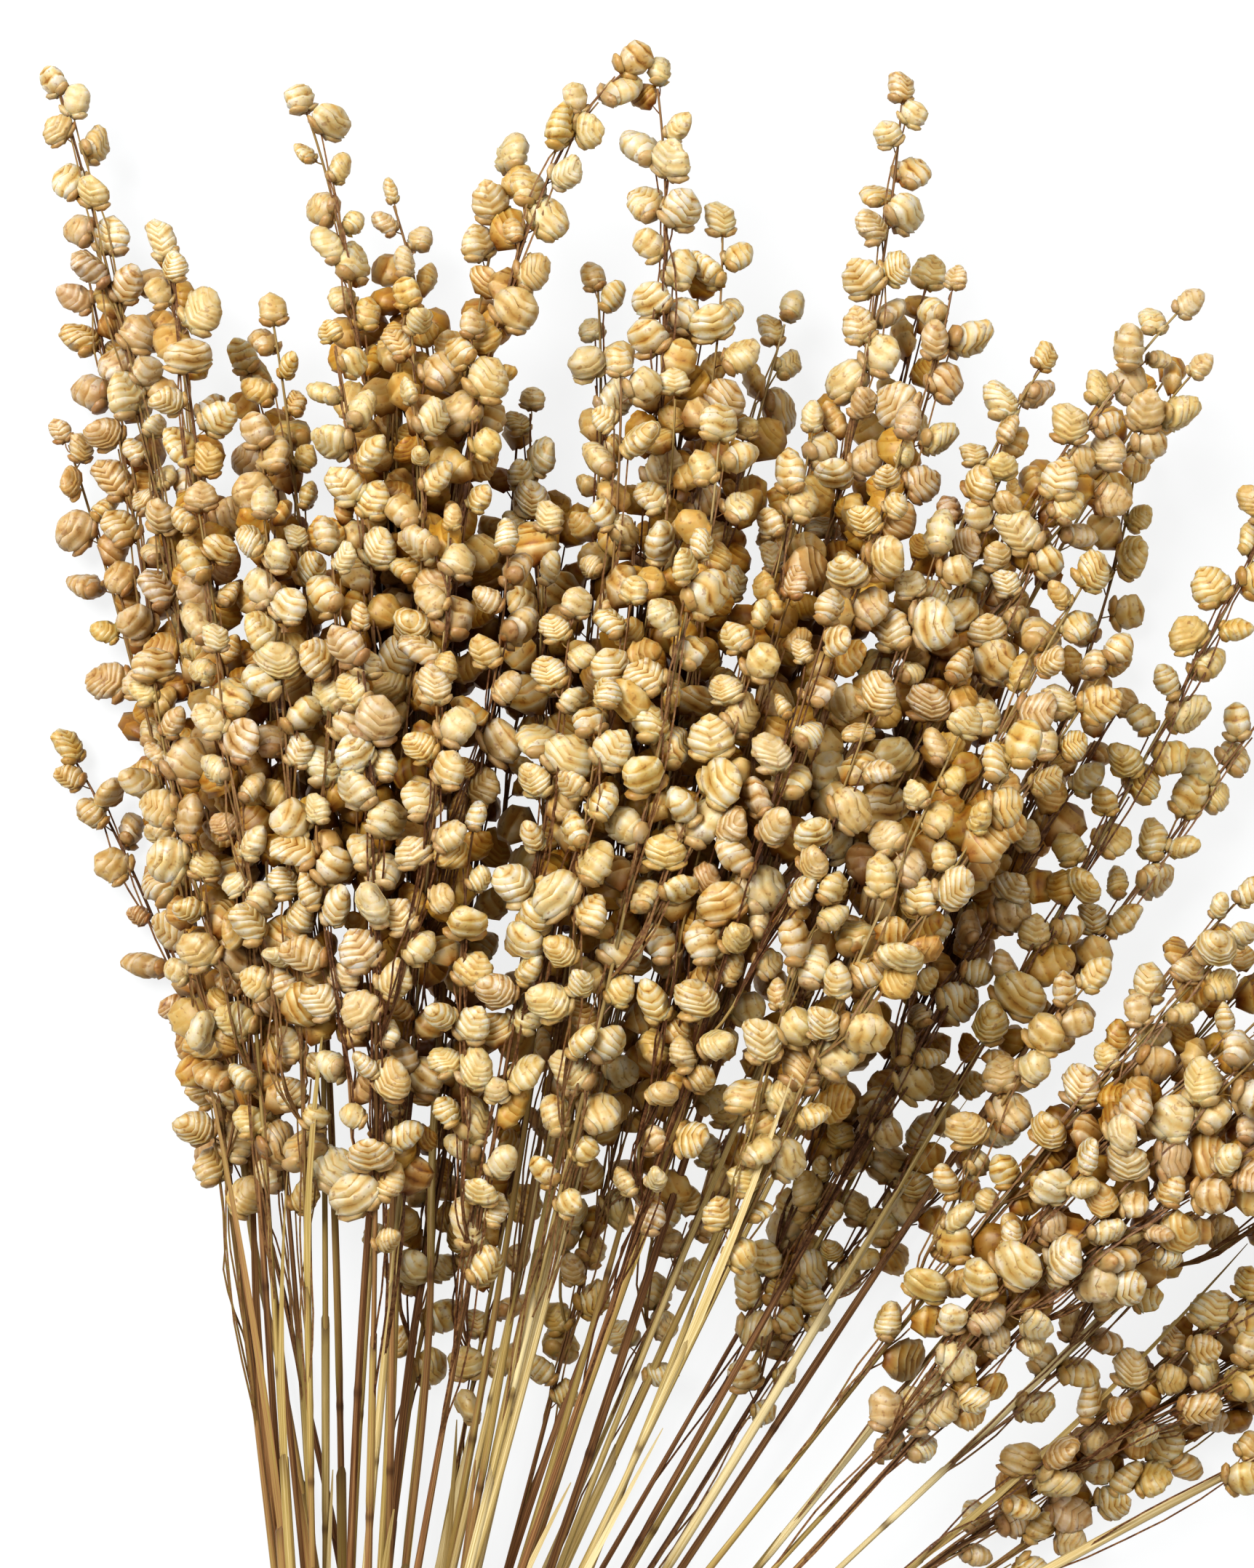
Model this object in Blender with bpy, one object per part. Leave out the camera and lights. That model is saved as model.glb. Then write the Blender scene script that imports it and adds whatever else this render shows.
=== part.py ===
"""Dried quaking grass: a bunch of cut stems tied once with twine, lying flat.

+Z is up and +Y runs from the tie towards the heads. The origin is under the tie, on the surface.
Each stem grew as one piece, so it is one solid: the culm, the axis of its head, its side strands
and the spikelets on them, which are drawn with few sides and with their roots sunk in the axis.
"""
import math

import bmesh
import bpy
import numpy as np
from mathutils import Vector
from mathutils.bvhtree import BVHTree
from mathutils.kdtree import KDTree

MM = 0.001
SEED = 4107
UP = np.array([0.0, 0.0, 1.0])
TINY = 1e-9
WELD = 0.02 * MM

# Which side of its head a panicle's side strands grow on
NONE, LEFT, RIGHT, BOTH = (), (-1,), (1,), (-1, 1)

# One row a panicle, read off a plan view of the bunch, in millimetres and degrees:
# tip x, tip y, tip height, lean of the tip from +Y, length of the head, sides with a side strand.
PANICLES = (
    (-55, 328, 14, -17, 120, RIGHT),
    (-51, 297, 8, -12, 100, NONE),
    (-55, 269, 5, -18, 75, NONE),
    (-35, 298, 26, -10, 115, RIGHT),
    (-54, 214, 4, -32, 80, NONE),
    (-41, 225, 14, -14, 90, RIGHT),
    (-29, 255, 34, -10, 110, BOTH),
    (-23, 281, 10, -14, 90, NONE),
    (-18, 288, 20, -10, 100, RIGHT),
    (-12, 323, 22, -20, 105, RIGHT),
    (-17, 253, 46, -8, 110, BOTH),
    (-6, 282, 40, -12, 115, BOTH),
    (-25, 205, 24, -14, 70, BOTH),
    (2, 309, 14, -20, 95, LEFT),
    (6, 289, 34, -4, 115, BOTH),
    (-1, 234, 54, -6, 100, BOTH),
    (13, 251, 46, 2, 110, BOTH),
    (22, 313, 24, 14, 105, LEFT),
    (12, 181, 5, 5, 75, LEFT),
    (41, 328, 32, 58, 75, NONE),
    (23, 268, 12, 4, 115, BOTH),
    (47, 326, 30, -8, 125, RIGHT),
    (33, 237, 52, 6, 110, BOTH),
    (37, 294, 18, -4, 105, LEFT),
    (31, 189, 5, 10, 90, LEFT),
    (41, 277, 38, 0, 120, BOTH),
    (54, 293, 22, 6, 100, RIGHT),
    (53, 246, 56, 10, 110, BOTH),
    (69, 289, 12, 16, 100, LEFT),
    (57, 266, 44, 4, 115, BOTH),
    (51, 191, 8, 14, 92, BOTH),
    (73, 269, 28, 10, 115, BOTH),
    (88, 324, 26, 4, 120, RIGHT),
    (74, 236, 56, 16, 105, BOTH),
    (93, 295, 14, 12, 110, LEFT),
    (87, 266, 46, 16, 115, BOTH),
    (74, 185, 6, 20, 85, BOTH),
    (105, 264, 34, 20, 110, BOTH),
    (133, 288, 34, 44, 100, BOTH),
    (134, 279, 12, 34, 110, LEFT),
    (130, 264, 6, 7, 110, LEFT),
    (117, 243, 40, 30, 100, BOTH),
    (95, 218, 58, 24, 95, BOTH),
    (125, 222, 20, 32, 85, LEFT),
    (104, 165, 5, 33, 78, BOTH),
    (115, 211, 5, 28, 110, LEFT),
    (160, 273, 24, 26, 125, NONE),
    (152, 223, 14, 38, 80, NONE),
    (166, 198, 30, 46, 100, BOTH),
    (142, 184, 38, 44, 92, BOTH),
    (157, 178, 50, 48, 108, BOTH),
    (146, 160, 44, 48, 85, BOTH),
    (192, 180, 24, 52, 112, BOTH),
    (196, 155, 20, 60, 112, RIGHT),
    (180, 129, 8, 62, 95, BOTH),
    (212, 118, 16, 82, 72, LEFT),
    (161, 108, 5, 58, 60, LEFT),
)

# The stems as they pass through the tie
CULM_RADIUS = 0.95 * MM
SLOT_PITCH = 2.45 * MM
BUNDLE_WIDE = 12.0 * MM
BUNDLE_TALL = 6.4 * MM

# The cut ends below the tie: they spread a little
FOOT_LENGTH = 85.0 * MM
FOOT_SCATTER = 8.0 * MM
FOOT_SPREAD = 0.45
FOOT_FALL = 0.3

# The way of a stem from the tie to its tip
FAN_START = 16.0 * MM
BEND_SHARE = 0.32
LEFT_BEND_SHARE = 0.5
LEFTMOST = math.radians(10.0)
MOST_BEND = 0.45
FIRMNESS = 0.85
SOFT_BEND = math.radians(35.0)
CURVE_SAMPLES = 200
AXIS_STEP = 3.0 * MM
TIP_RADIUS = 0.45 * MM
NECK_RADIUS = 0.62 * MM

# How strands are bent clear of one another: the part near the tie, or near the root, is held
STRAND_GAP = 3.0 * MM
AXIS_FLOOR = 1.6 * MM
LEAST_STEP_UP = 0.3 * MM
SIDEWAYS_SHARE = 0.35
PUSH_STRENGTH = 0.9
SMOOTHINGS = 6
HELD_LENGTH = 40.0 * MM
FREED_WITHIN = 50.0 * MM
SIDE_FREED_WITHIN = 18.0 * MM
STEM_ROUNDS = 25
SIDE_ROUNDS = 20

# A side strand, in shares of the length of its head; the second one starts higher and is shorter
SIDE_RADIUS = 0.48 * MM
SIDE_START = 0.98
SIDE_START_STEP = 0.26
SIDE_SHARE = 0.62
SIDE_SHARE_STEP = 0.08
SIDE_SCATTER = 0.10
SIDE_SPREAD = 8.0 * MM
SIDE_SPREAD_MORE = 5.0 * MM
SIDE_LIFT = 4.0 * MM
SIDE_BARE = 0.22

# Spikelets: how they stand on a strand, in degrees, and their size
SPIKELET_LENGTH = 6.4 * MM
SPIKELET_SPACING = 4.0 * MM
FEWEST_SPIKELETS = 3
ROOT_SCATTER = 0.3
TURN_SCATTER = 38.0
ROLL_SCATTER = 45.0
LEAN_RANGE = (16.0, 66.0)
TIP_LEAN = 5.0
SIZE_SCATTER = 0.15
SIZE_RANGE = (0.72, 1.30)
TIP_SPIKELETS = 3
TIP_SIZE = 0.86
STALKLET_RANGE = (0.3 * MM, 2.2 * MM)

# How spikelets settle clear of one another
SETTLE_ROUNDS = 24
SPIKELET_FLOOR = 2.3 * MM
SPIKELET_CLEAR = 4.8 * MM
AXIS_CLEAR = 2.6 * MM
SPIKELET_PUSH = 0.4
AXIS_PUSH = 0.5
LONGEST_SHIFT = 3.0 * MM
ROOT_PULL = 0.8

# What the solids keep of the spikelets: one kite for about four of them, in shares of its length
SPIKELETS_A_KITE = 4.0
CHOICE = (0, 2, 1, 3)
KITE_GAP = 1.07
KITE_REACH = 14.0 * MM
KITE_WIDTH = 1.0
KITE_BACK = 0.36
KITE_TIP = 0.55
KITE_DROOP = 0.06
ROOT_DEPTH = 1.5 * MM
FLAT_BELOW = 0.8 * MM

# How far the straight runs of a solid strand may leave its curve: less near the tie, where stems lie close
NEAR_TIE = 60.0 * MM
PAST_TIE = 130.0 * MM
CULM_TOLERANCE = 0.3 * MM
HEAD_TOLERANCE = 0.7 * MM
CULM_SIDES = 4
SIDE_STRAND_SIDES = 3

# The tie: three turns of twine drawn round the stems, with a small knot on top
TWINE_RADIUS = 1.0 * MM
TWINE_TURNS = 3
TWINE_PITCH = 2.5 * MM
TWINE_SINK = 0.25 * MM
TWINE_GAP = 0.4 * MM
TIE_HALF = 5.5 * MM
TWINE_CORNERS = 10
TWINE_SIDES = 5
BUNDLE_FLOOR = 2 * TWINE_RADIUS - TWINE_SINK + TWINE_GAP + CULM_RADIUS

# The knot, in twine radii: its lift over the turns, its ring, and the way that its two ends point
KNOT_LIFT = 1.6
HITCH_RING = 1.9
HITCH_WIDTH = 0.35
HITCH_THICKNESS = 0.9
HITCH_CORNERS = 8
END_THICKNESS = 0.92
END_LENGTH = 13.0 * MM
END_WAY = (0.55, 0.8, 0.12)


def unit(vectors):
    """The same vectors at length one."""
    return vectors / np.maximum(np.linalg.norm(vectors, axis=-1, keepdims=True), TINY)


def even_points(line, step):
    """The same line with its points an even step apart."""
    along = np.concatenate(([0.0], np.cumsum(np.linalg.norm(np.diff(line, axis=0), axis=1))))
    wanted = np.linspace(0.0, along[-1], max(int(round(along[-1] / step)), 2) + 1)
    return np.stack([np.interp(wanted, along, line[:, k]) for k in range(3)], axis=1)


def point_tree(points):
    """A search tree of points."""
    tree = KDTree(len(points))
    for i, point in enumerate(points):
        tree.insert(point, i)
    tree.balance()
    return tree


def slots_in_the_tie(count):
    """Places of the stems in the tie: hexagonal packing in a flat ellipse, as rows from the lowest up."""
    rise = SLOT_PITCH * math.sqrt(3) / 2
    columns, levels = range(-12, 12), range(-8, 9)
    lattice = [(SLOT_PITCH * (i + 0.5 * (j % 2)), rise * j, j) for j in levels for i in columns]
    lattice.sort(key=lambda p: round((p[0] / BUNDLE_WIDE) ** 2 + (p[1] / BUNDLE_TALL) ** 2, 6))
    chosen = lattice[:count]
    lowest = min(j for _, _, j in chosen)
    rows = {}
    for x, _, j in chosen:
        rows.setdefault(j - lowest, []).append((x, BUNDLE_FLOOR + rise * (j - lowest)))
    return [sorted(rows[j]) for j in sorted(rows)]


def leaving_angle(row):
    """The angle from +Y at which a stem leaves the tie: it bends on its way to the lean of its tip.

    The stems on the left bend most, so they leave almost straight.
    """
    heading = math.atan2(row[0], row[1])
    bend = math.radians(row[3]) - heading
    share = BEND_SHARE + LEFT_BEND_SHARE * max(0.0, min(1.0, -heading / LEFTMOST))
    return heading - share * max(-MOST_BEND, min(MOST_BEND, bend))


def share_the_slots(rows):
    """A slot for each panicle: flatter stems lie in lower rows, and each row fans from left to right."""
    flattest = sorted(range(len(PANICLES)), key=lambda i: PANICLES[i][2] / math.hypot(*PANICLES[i][:2]))
    place = [None] * len(PANICLES)
    for row in rows:
        taken, flattest = flattest[:len(row)], flattest[len(row):]
        taken.sort(key=lambda i: leaving_angle(PANICLES[i]))
        for i, slot in zip(taken, row):
            place[i] = slot
    return place


def stem_axis(row, slot):
    """A cubic from the slot to the tip in plan, that climbs along a quarter of a sine."""
    tip = np.array(row[:3]) * MM
    start = np.array([slot[0], TIE_HALF, slot[1]])
    reach = np.linalg.norm(tip[:2] - start[:2])
    leave, arrive = leaving_angle(row), math.radians(row[3])
    firmness = FIRMNESS / (1.0 + abs(arrive - math.atan2(row[0], row[1])) / SOFT_BEND)
    t = np.linspace(0.0, 1.0, CURVE_SAMPLES)[:, None]
    line = (
        (2 * t**3 - 3 * t**2 + 1) * start
        + (t**3 - 2 * t**2 + t) * reach * np.array([math.sin(leave), math.cos(leave), 0.0])
        + (3 * t**2 - 2 * t**3) * tip
        + (t**3 - t**2) * reach * firmness * np.array([math.sin(arrive), math.cos(arrive), 0.0])
    )
    line[:, 2] = start[2] + (tip[2] - start[2]) * np.sin(0.5 * math.pi * t[:, 0])
    risen = (line[:, 1] - TIE_HALF) ** 2
    fanned = (risen / (risen + FAN_START**2))[:, None]
    line[:, (0, 2)] = start[[0, 2]] + fanned * (line[:, (0, 2)] - start[[0, 2]])
    return even_points(line, AXIS_STEP)


def side_axis(axis, root, side, length, spread, lift):
    """A side strand: it leaves the head's axis at a narrow angle and then runs along beside it."""
    steps = int(length / AXIS_STEP)
    k = np.arange(steps + 1)
    along = axis[np.minimum(root + k, len(axis) - 1)]
    beyond = np.maximum(root + k - (len(axis) - 1), 0)[:, None] * (axis[-1] - axis[-2])
    tangent = unit(np.gradient(axis, axis=0))[np.minimum(root + k, len(axis) - 1)]
    across = unit(np.stack([tangent[:, 1], -tangent[:, 0], np.zeros(len(k))], axis=1))
    away = np.sin(0.5 * math.pi * k / steps)[:, None]
    return along + beyond + away * (side * spread * across + np.array([0.0, 0.0, lift]))


def push_apart(lines, owners, held, gap, rounds):
    """Lines bent clear of one another, more up and down than sideways, till their points keep the gap."""
    sizes = [len(line) for line in lines]
    ends = np.cumsum([0] + sizes)
    points = np.concatenate(lines)
    owner = np.repeat(owners, sizes)
    weight = np.concatenate(held)
    for _ in range(rounds):
        tree = point_tree(points)
        push = np.zeros_like(points)
        for i in np.nonzero(weight > 0.0)[0]:
            for _, j, far in tree.find_range(points[i], gap):
                if owner[j] == owner[i]:
                    continue
                gone = points[i] - points[j]
                if abs(gone[2]) < LEAST_STEP_UP:
                    gone[2] = LEAST_STEP_UP if owner[i] > owner[j] else -LEAST_STEP_UP
                gone[:2] *= SIDEWAYS_SHARE
                push[i] += gone / np.linalg.norm(gone) * (gap - far) * PUSH_STRENGTH
        for a, b in zip(ends[:-1], ends[1:]):
            for _ in range(SMOOTHINGS):
                padded = np.concatenate([push[a:a + 1], push[a:b], push[b - 1:b]])
                push[a:b] = 0.25 * padded[:-2] + 0.5 * padded[1:-1] + 0.25 * padded[2:]
        points = points + push * weight[:, None]
        points[:, 2] = np.maximum(points[:, 2], AXIS_FLOOR)
    return [np.round(points[a:b], 6) for a, b in zip(ends[:-1], ends[1:])]


def grow_axes():
    """The axes of all stems and of their side strands, as (stem, line, length without spikelets)."""
    draw = np.random.RandomState(SEED)
    slots = share_the_slots(slots_in_the_tie(len(PANICLES)))
    mains = [stem_axis(row, slot) for row, slot in zip(PANICLES, slots)]
    freed = [(np.arange(len(line)) * AXIS_STEP - HELD_LENGTH) / FREED_WITHIN for line in mains]
    weights = [np.clip(share, 0.0, 1.0) for share in freed]
    mains = push_apart(mains, range(len(mains)), weights, STRAND_GAP, STEM_ROUNDS)
    strands = []
    for stem, (row, line) in enumerate(zip(PANICLES, mains)):
        strands.append((stem, line, (len(line) - 1) * AXIS_STEP - row[4] * MM))
    weights = [np.zeros(len(line)) for line in mains]
    for stem, row in enumerate(PANICLES):
        head = row[4] * MM
        for k, side in enumerate(row[5]):
            start = SIDE_START - SIDE_START_STEP * k - SIDE_SCATTER * draw.random_sample()
            root = len(mains[stem]) - 1 - int(int(head / AXIS_STEP) * start)
            length = head * (SIDE_SHARE - SIDE_SHARE_STEP * k + SIDE_SCATTER * draw.random_sample())
            spread = SIDE_SPREAD + SIDE_SPREAD_MORE * draw.random_sample()
            lift = SIDE_LIFT * (2.0 * draw.random_sample() - 1.0)
            line = side_axis(mains[stem], root, side, length, spread, lift)
            strands.append((stem, line, SIDE_BARE * length))
            weights.append(np.clip(np.arange(len(line)) * AXIS_STEP / SIDE_FREED_WITHIN, 0.0, 1.0))
    lines = [line for _, line, _ in strands]
    lines = push_apart(lines, range(len(lines)), weights, STRAND_GAP, SIDE_ROUNDS)
    return slots, [(stem, line, bare) for (stem, _, bare), line in zip(strands, lines)]


def grow_spikelets(strands):
    """Spikelets on alternate sides of every strand: the root, long axis, width axis and size of each."""
    draw = np.random.RandomState(SEED + 1)
    found = {name: [] for name in ("root", "along", "wide", "size", "reach", "stem", "strand")}
    for strand, (stem, line, bare) in enumerate(strands):
        length = (len(line) - 1) * AXIS_STEP
        count = max(int((length - bare) / SPIKELET_SPACING), FEWEST_SPIKELETS)
        number = np.arange(count)
        share = (number + ROOT_SCATTER * draw.random_sample(count)) / (count - 1.0 + ROOT_SCATTER)
        s = np.minimum(bare + (length - bare) * share, length - ROOT_DEPTH)
        index = np.minimum((s / AXIS_STEP).astype(int), len(line) - 2)
        part = (s / AXIS_STEP - index)[:, None]
        tangent = unit(line[index + 1] - line[index])
        across = unit(np.stack([tangent[:, 1], -tangent[:, 0], np.zeros(count)], axis=1))
        up = np.cross(across, tangent)
        turn = math.pi * (number % 2) + np.radians(draw.normal(0.0, TURN_SCATTER, count))
        lean = np.radians(draw.uniform(*LEAN_RANGE, count))
        lean[-1] = math.radians(TIP_LEAN)
        out = np.cos(turn)[:, None] * across + np.sin(turn)[:, None] * up
        along = np.cos(lean)[:, None] * tangent + np.sin(lean)[:, None] * out
        roll = np.radians(draw.normal(0.0, ROLL_SCATTER, count))
        size = SPIKELET_LENGTH * np.clip(draw.normal(1.0, SIZE_SCATTER, count), *SIZE_RANGE)
        size *= np.where(number >= count - TIP_SPIKELETS, TIP_SIZE, 1.0)
        level = unit(np.cross(UP, along) + TINY * across)
        wide = np.cos(roll)[:, None] * level + np.sin(roll)[:, None] * np.cross(along, level)
        found["root"].append(line[index] + part * (line[index + 1] - line[index]))
        found["along"].append(along)
        found["wide"].append(wide)
        found["size"].append(size)
        found["reach"].append(draw.uniform(*STALKLET_RANGE, count) + 0.5 * size)
        found["stem"].append(np.full(count, stem))
        found["strand"].append(np.full(count, strand))
    return {name: np.concatenate(rows) for name, rows in found.items()}


def settle_spikelets(grown, strands):
    """Spikelets moved clear of one another, of the strands and of the surface, and turned to suit."""
    start = grown["root"] + grown["reach"][:, None] * grown["along"]
    start[:, 2] = np.maximum(start[:, 2], SPIKELET_FLOOR)
    centre = start.copy()
    axis_tree = point_tree(np.concatenate([line for _, line, _ in strands]))
    for _ in range(SETTLE_ROUNDS):
        tree = point_tree(centre)
        push = np.zeros_like(centre)
        for i, p in enumerate(centre):
            for other, j, far in tree.find_range(p, SPIKELET_CLEAR):
                if j != i:
                    push[i] += SPIKELET_PUSH * (SPIKELET_CLEAR - far) * unit(p - np.array(other))
            near, _, far = axis_tree.find(p)
            if far < AXIS_CLEAR:
                push[i] += AXIS_PUSH * (AXIS_CLEAR - far) * unit(p - np.array(near))
        moved = centre + push - start
        gone = np.maximum(np.linalg.norm(moved, axis=1, keepdims=True), TINY)
        centre = start + moved * np.minimum(1.0, LONGEST_SHIFT / gone)
        centre[:, 2] = np.maximum(centre[:, 2], SPIKELET_FLOOR)
    along = unit(grown["along"] + ROOT_PULL * unit(centre - grown["root"]))
    wide = unit(grown["wide"] - np.sum(grown["wide"] * along, axis=1, keepdims=True) * along)
    grown["centre"] = np.round(centre, 5)
    grown["along"] = np.round(along, 4)
    grown["wide"] = np.round(wide, 4)
    grown["size"] = np.round(grown["size"], 5)
    grown["root"] = np.round(grown["root"], 5)
    return grown


def thinned(line):
    """The numbers of the points that the line's shape needs."""
    kept, last = [0], 0
    tolerance = np.interp(line[:, 1], [NEAR_TIE, PAST_TIE], [CULM_TOLERANCE, HEAD_TOLERANCE])
    for end in range(2, len(line)):
        chord = unit(line[end] - line[last])
        skipped = line[last + 1:end] - line[last]
        aside = np.linalg.norm(skipped - np.sum(skipped * chord, axis=1, keepdims=True) * chord, axis=1)
        if aside.max() > tolerance[end]:
            last = end - 1
            kept.append(last)
    return kept + [len(line) - 1]


def nearest_on(line, place):
    """The point of the line that is nearest to the place."""
    start, run = line[:-1], np.diff(line, axis=0)
    part = np.sum((place - start) * run, axis=1) / np.sum(run * run, axis=1)
    spots = start + np.clip(part, 0.0, 1.0)[:, None] * run
    return spots[np.argmin(np.sum((spots - place) ** 2, axis=1))]


def poly_curve(name, points, closed):
    """A curve object of straight runs."""
    data = bpy.data.curves.new(name, "CURVE")
    data.dimensions = "3D"
    spline = data.splines.new("POLY")
    spline.points.add(len(points) - 1)
    for point, place in zip(spline.points, points):
        point.co = (*place, 1.0)
    spline.use_cyclic_u = closed
    holder = bpy.data.objects.new(name, data)
    bpy.context.scene.collection.objects.link(holder)
    return holder


def tube(name, points, radii, sides, closed=False):
    """A curve with a section of few sides and of changing radius, turned into a closed mesh."""
    ring = [(math.cos(a), math.sin(a), 0.0) for a in np.arange(sides) * 2 * math.pi / sides]
    section = poly_curve(name + ".section", ring, True)
    path = poly_curve(name + ".path", points, closed)
    path.data.bevel_mode = "OBJECT"
    path.data.bevel_object = section
    path.data.use_fill_caps = not closed
    for point, radius in zip(path.data.splines[0].points, radii):
        point.radius = radius
    bpy.context.view_layer.update()
    mesh = bpy.data.meshes.new_from_object(path.evaluated_get(bpy.context.evaluated_depsgraph_get()))
    bpy.data.objects.remove(path)
    bpy.data.objects.remove(section)
    built = bmesh.new()
    built.from_mesh(mesh)
    bmesh.ops.remove_doubles(built, verts=built.verts, dist=WELD)
    bmesh.ops.recalc_face_normals(built, faces=built.faces)
    built.to_mesh(mesh)
    built.free()
    mesh.name = name
    return mesh


def kite(root, centre, along, wide, size):
    """The four corners of a spikelet with few sides: its root in the strand, its shoulders and its tip."""
    thick = np.cross(along, wide)
    side = 1.0 if np.dot(centre - root, thick) > 0.0 else -1.0
    back = centre + KITE_BACK * side * size * thick
    tip = centre + KITE_TIP * size * along - KITE_DROOP * side * size * thick
    half = 0.5 * KITE_WIDTH * size * wide
    corners = [root, back - half, back + half, tip]
    for corner in corners[1:]:
        if corner[2] < FLAT_BELOW:
            corner[2] = 0.0
    return [Vector(corner) for corner in corners]


def hull(corners, scale=1.0):
    """The closed solid with these corners, swollen about its middle by the scale."""
    middle = sum(corners, Vector()) / len(corners)
    built = bmesh.new()
    for corner in corners:
        built.verts.new(middle + (corner - middle) * scale)
    bmesh.ops.convex_hull(built, input=built.verts)
    bmesh.ops.recalc_face_normals(built, faces=built.faces)
    return built


def hull_mesh(corners):
    """The same solid as a mesh."""
    mesh = bpy.data.meshes.new("spikelet")
    built = hull(corners)
    built.to_mesh(mesh)
    built.free()
    return mesh


def hull_tree(corners):
    """A search tree of the same solid, a little swollen to keep a gap."""
    built = hull(corners, KITE_GAP)
    tree = BVHTree.FromBMesh(built)
    built.free()
    return tree


def mesh_tree(mesh):
    """A search tree of a mesh."""
    return BVHTree.FromPolygons([v.co for v in mesh.vertices], [p.vertices for p in mesh.polygons])


def clear_of(tree, place, others):
    """True where the tree crosses none of the solids that are near its place."""
    return not any((place - spot).length < KITE_REACH and tree.overlap(other) for spot, other in others)


def choose_kites(grown, lines, tubes):
    """The spikelets that the solids keep, by stem: every fourth one from each tip down, and then others
    between them till a strand has its share, of those that cross no other kite and no other strand."""
    kept = [[] for _ in PANICLES]
    members = [np.nonzero(grown["strand"] == k)[0][::-1] for k in range(len(lines))]
    wanted = [round(len(found) / SPIKELETS_A_KITE) for found in members]
    order = [(n, k, i) for k, found in enumerate(members) for n, i in enumerate(found)]
    order.sort(key=lambda item: (CHOICE[item[0] % len(CHOICE)], item[0], item[2]))
    places = []
    for _, k, i in order:
        if wanted[k] == 0:
            continue
        root = nearest_on(lines[k], grown["root"][i])
        corners = kite(root, *(grown[name][i] for name in ("centre", "along", "wide", "size")))
        tree = hull_tree(corners)
        middle = corners[0].lerp(corners[-1], 0.5)
        if not clear_of(tree, middle, places):
            continue
        if any(other != k and tree.overlap(found) for other, found in enumerate(tubes)):
            continue
        places.append((middle, tree))
        kept[grown["stem"][i]].append(corners)
        wanted[k] -= 1
    return kept


def foot_points(slot, draw):
    """The stem below the tie: it spreads a little and ends in its cut."""
    length = FOOT_LENGTH + FOOT_SCATTER * (2.0 * draw.random_sample() - 1.0)
    middle = BUNDLE_FLOOR + 0.5 * BUNDLE_TALL
    share = np.array([1.0, 0.5, 0.0])
    x = slot[0] * (1.0 + FOOT_SPREAD * share)
    y = -TIE_HALF - (length - TIE_HALF) * share
    z = slot[1] + FOOT_FALL * (slot[1] - middle) * share
    return np.stack([x, y, z], axis=1)


def taut_loop(slots):
    """The way of a taut twine round the stems: a polygon whose sides touch the outermost ones."""
    room = CULM_RADIUS + TWINE_GAP + TWINE_RADIUS
    angles = 0.5 * math.pi + np.arange(TWINE_CORNERS + 1) * 2 * math.pi / TWINE_CORNERS
    facing = np.stack([np.cos(angles), np.sin(angles)], axis=1)
    support = np.array([max(x * fx + z * fz for x, z in slots) for fx, fz in facing]) + room
    here, after = facing[:-1], facing[1:]
    across = here[:, 0] * after[:, 1] - here[:, 1] * after[:, 0]
    x = (support[:-1] * after[:, 1] - support[1:] * here[:, 1]) / across
    z = (support[1:] * here[:, 0] - support[:-1] * after[:, 0]) / across
    return np.stack([x, np.zeros(TWINE_CORNERS), z], axis=1)


def wind(loop):
    """Turns of the loop side by side, as one line that moves along Y by the pitch at each turn."""
    number = np.arange(TWINE_TURNS * len(loop) + 1)
    line = loop[number % len(loop)]
    line[:, 1] = TWINE_PITCH * (number / len(loop) - 0.5 * TWINE_TURNS)
    return line


def knot_lines(winding):
    """The ring that hitches the turns together on top, and the two short ends that come out of it."""
    knot = np.array([winding[0][0], 0.0, winding[0][2] + KNOT_LIFT * TWINE_RADIUS])
    turn = np.arange(HITCH_CORNERS) * 2 * math.pi / HITCH_CORNERS
    round_it = np.stack([HITCH_WIDTH * np.cos(turn), np.cos(turn), np.sin(turn)], axis=1)
    ring = knot + HITCH_RING * TWINE_RADIUS * round_it
    ends = []
    for start, way in ((winding[0], -1.0), (winding[-1], 1.0)):
        out = unit(np.array(END_WAY) * (way, way, 1.0))
        ends.append(np.array([start, knot, knot + END_LENGTH * out]))
    return ring, ends


def cut_flat(mesh):
    """The mesh without what reaches under the surface, closed there by a flat face."""
    built = bmesh.new()
    built.from_mesh(mesh)
    everything = built.verts[:] + built.edges[:] + built.faces[:]
    cut = bmesh.ops.bisect_plane(built, geom=everything, plane_co=(0, 0, 0), plane_no=UP, clear_inner=True)
    rim = [edge for edge in cut["geom_cut"] if isinstance(edge, bmesh.types.BMEdge)]
    bmesh.ops.edgeloop_fill(built, edges=rim)
    bmesh.ops.recalc_face_normals(built, faces=built.faces)
    built.to_mesh(mesh)
    built.free()


def build_tie(slots, collection, material):
    """The twine tie: its turns, the knot that holds its two short ends, and a flat underside."""
    winding = wind(taut_loop(slots))
    ring, ends = knot_lines(winding)
    radii = np.full(len(winding), TWINE_RADIUS)
    tie = linked("tie", tube("tie", winding, radii, TWINE_SIDES), collection)
    pieces = new_collection("tie.pieces")
    for k, end in enumerate(ends):
        radii = np.full(len(end), END_THICKNESS * TWINE_RADIUS)
        linked(f"end_{k}", tube(f"end_{k}", end, radii, TWINE_SIDES), pieces)
    radii = np.full(len(ring), HITCH_THICKNESS * TWINE_RADIUS)
    linked("hitch", tube("hitch", ring, radii, TWINE_SIDES, closed=True), pieces)
    fuse(tie, pieces, material)
    cut_flat(tie.data)


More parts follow.
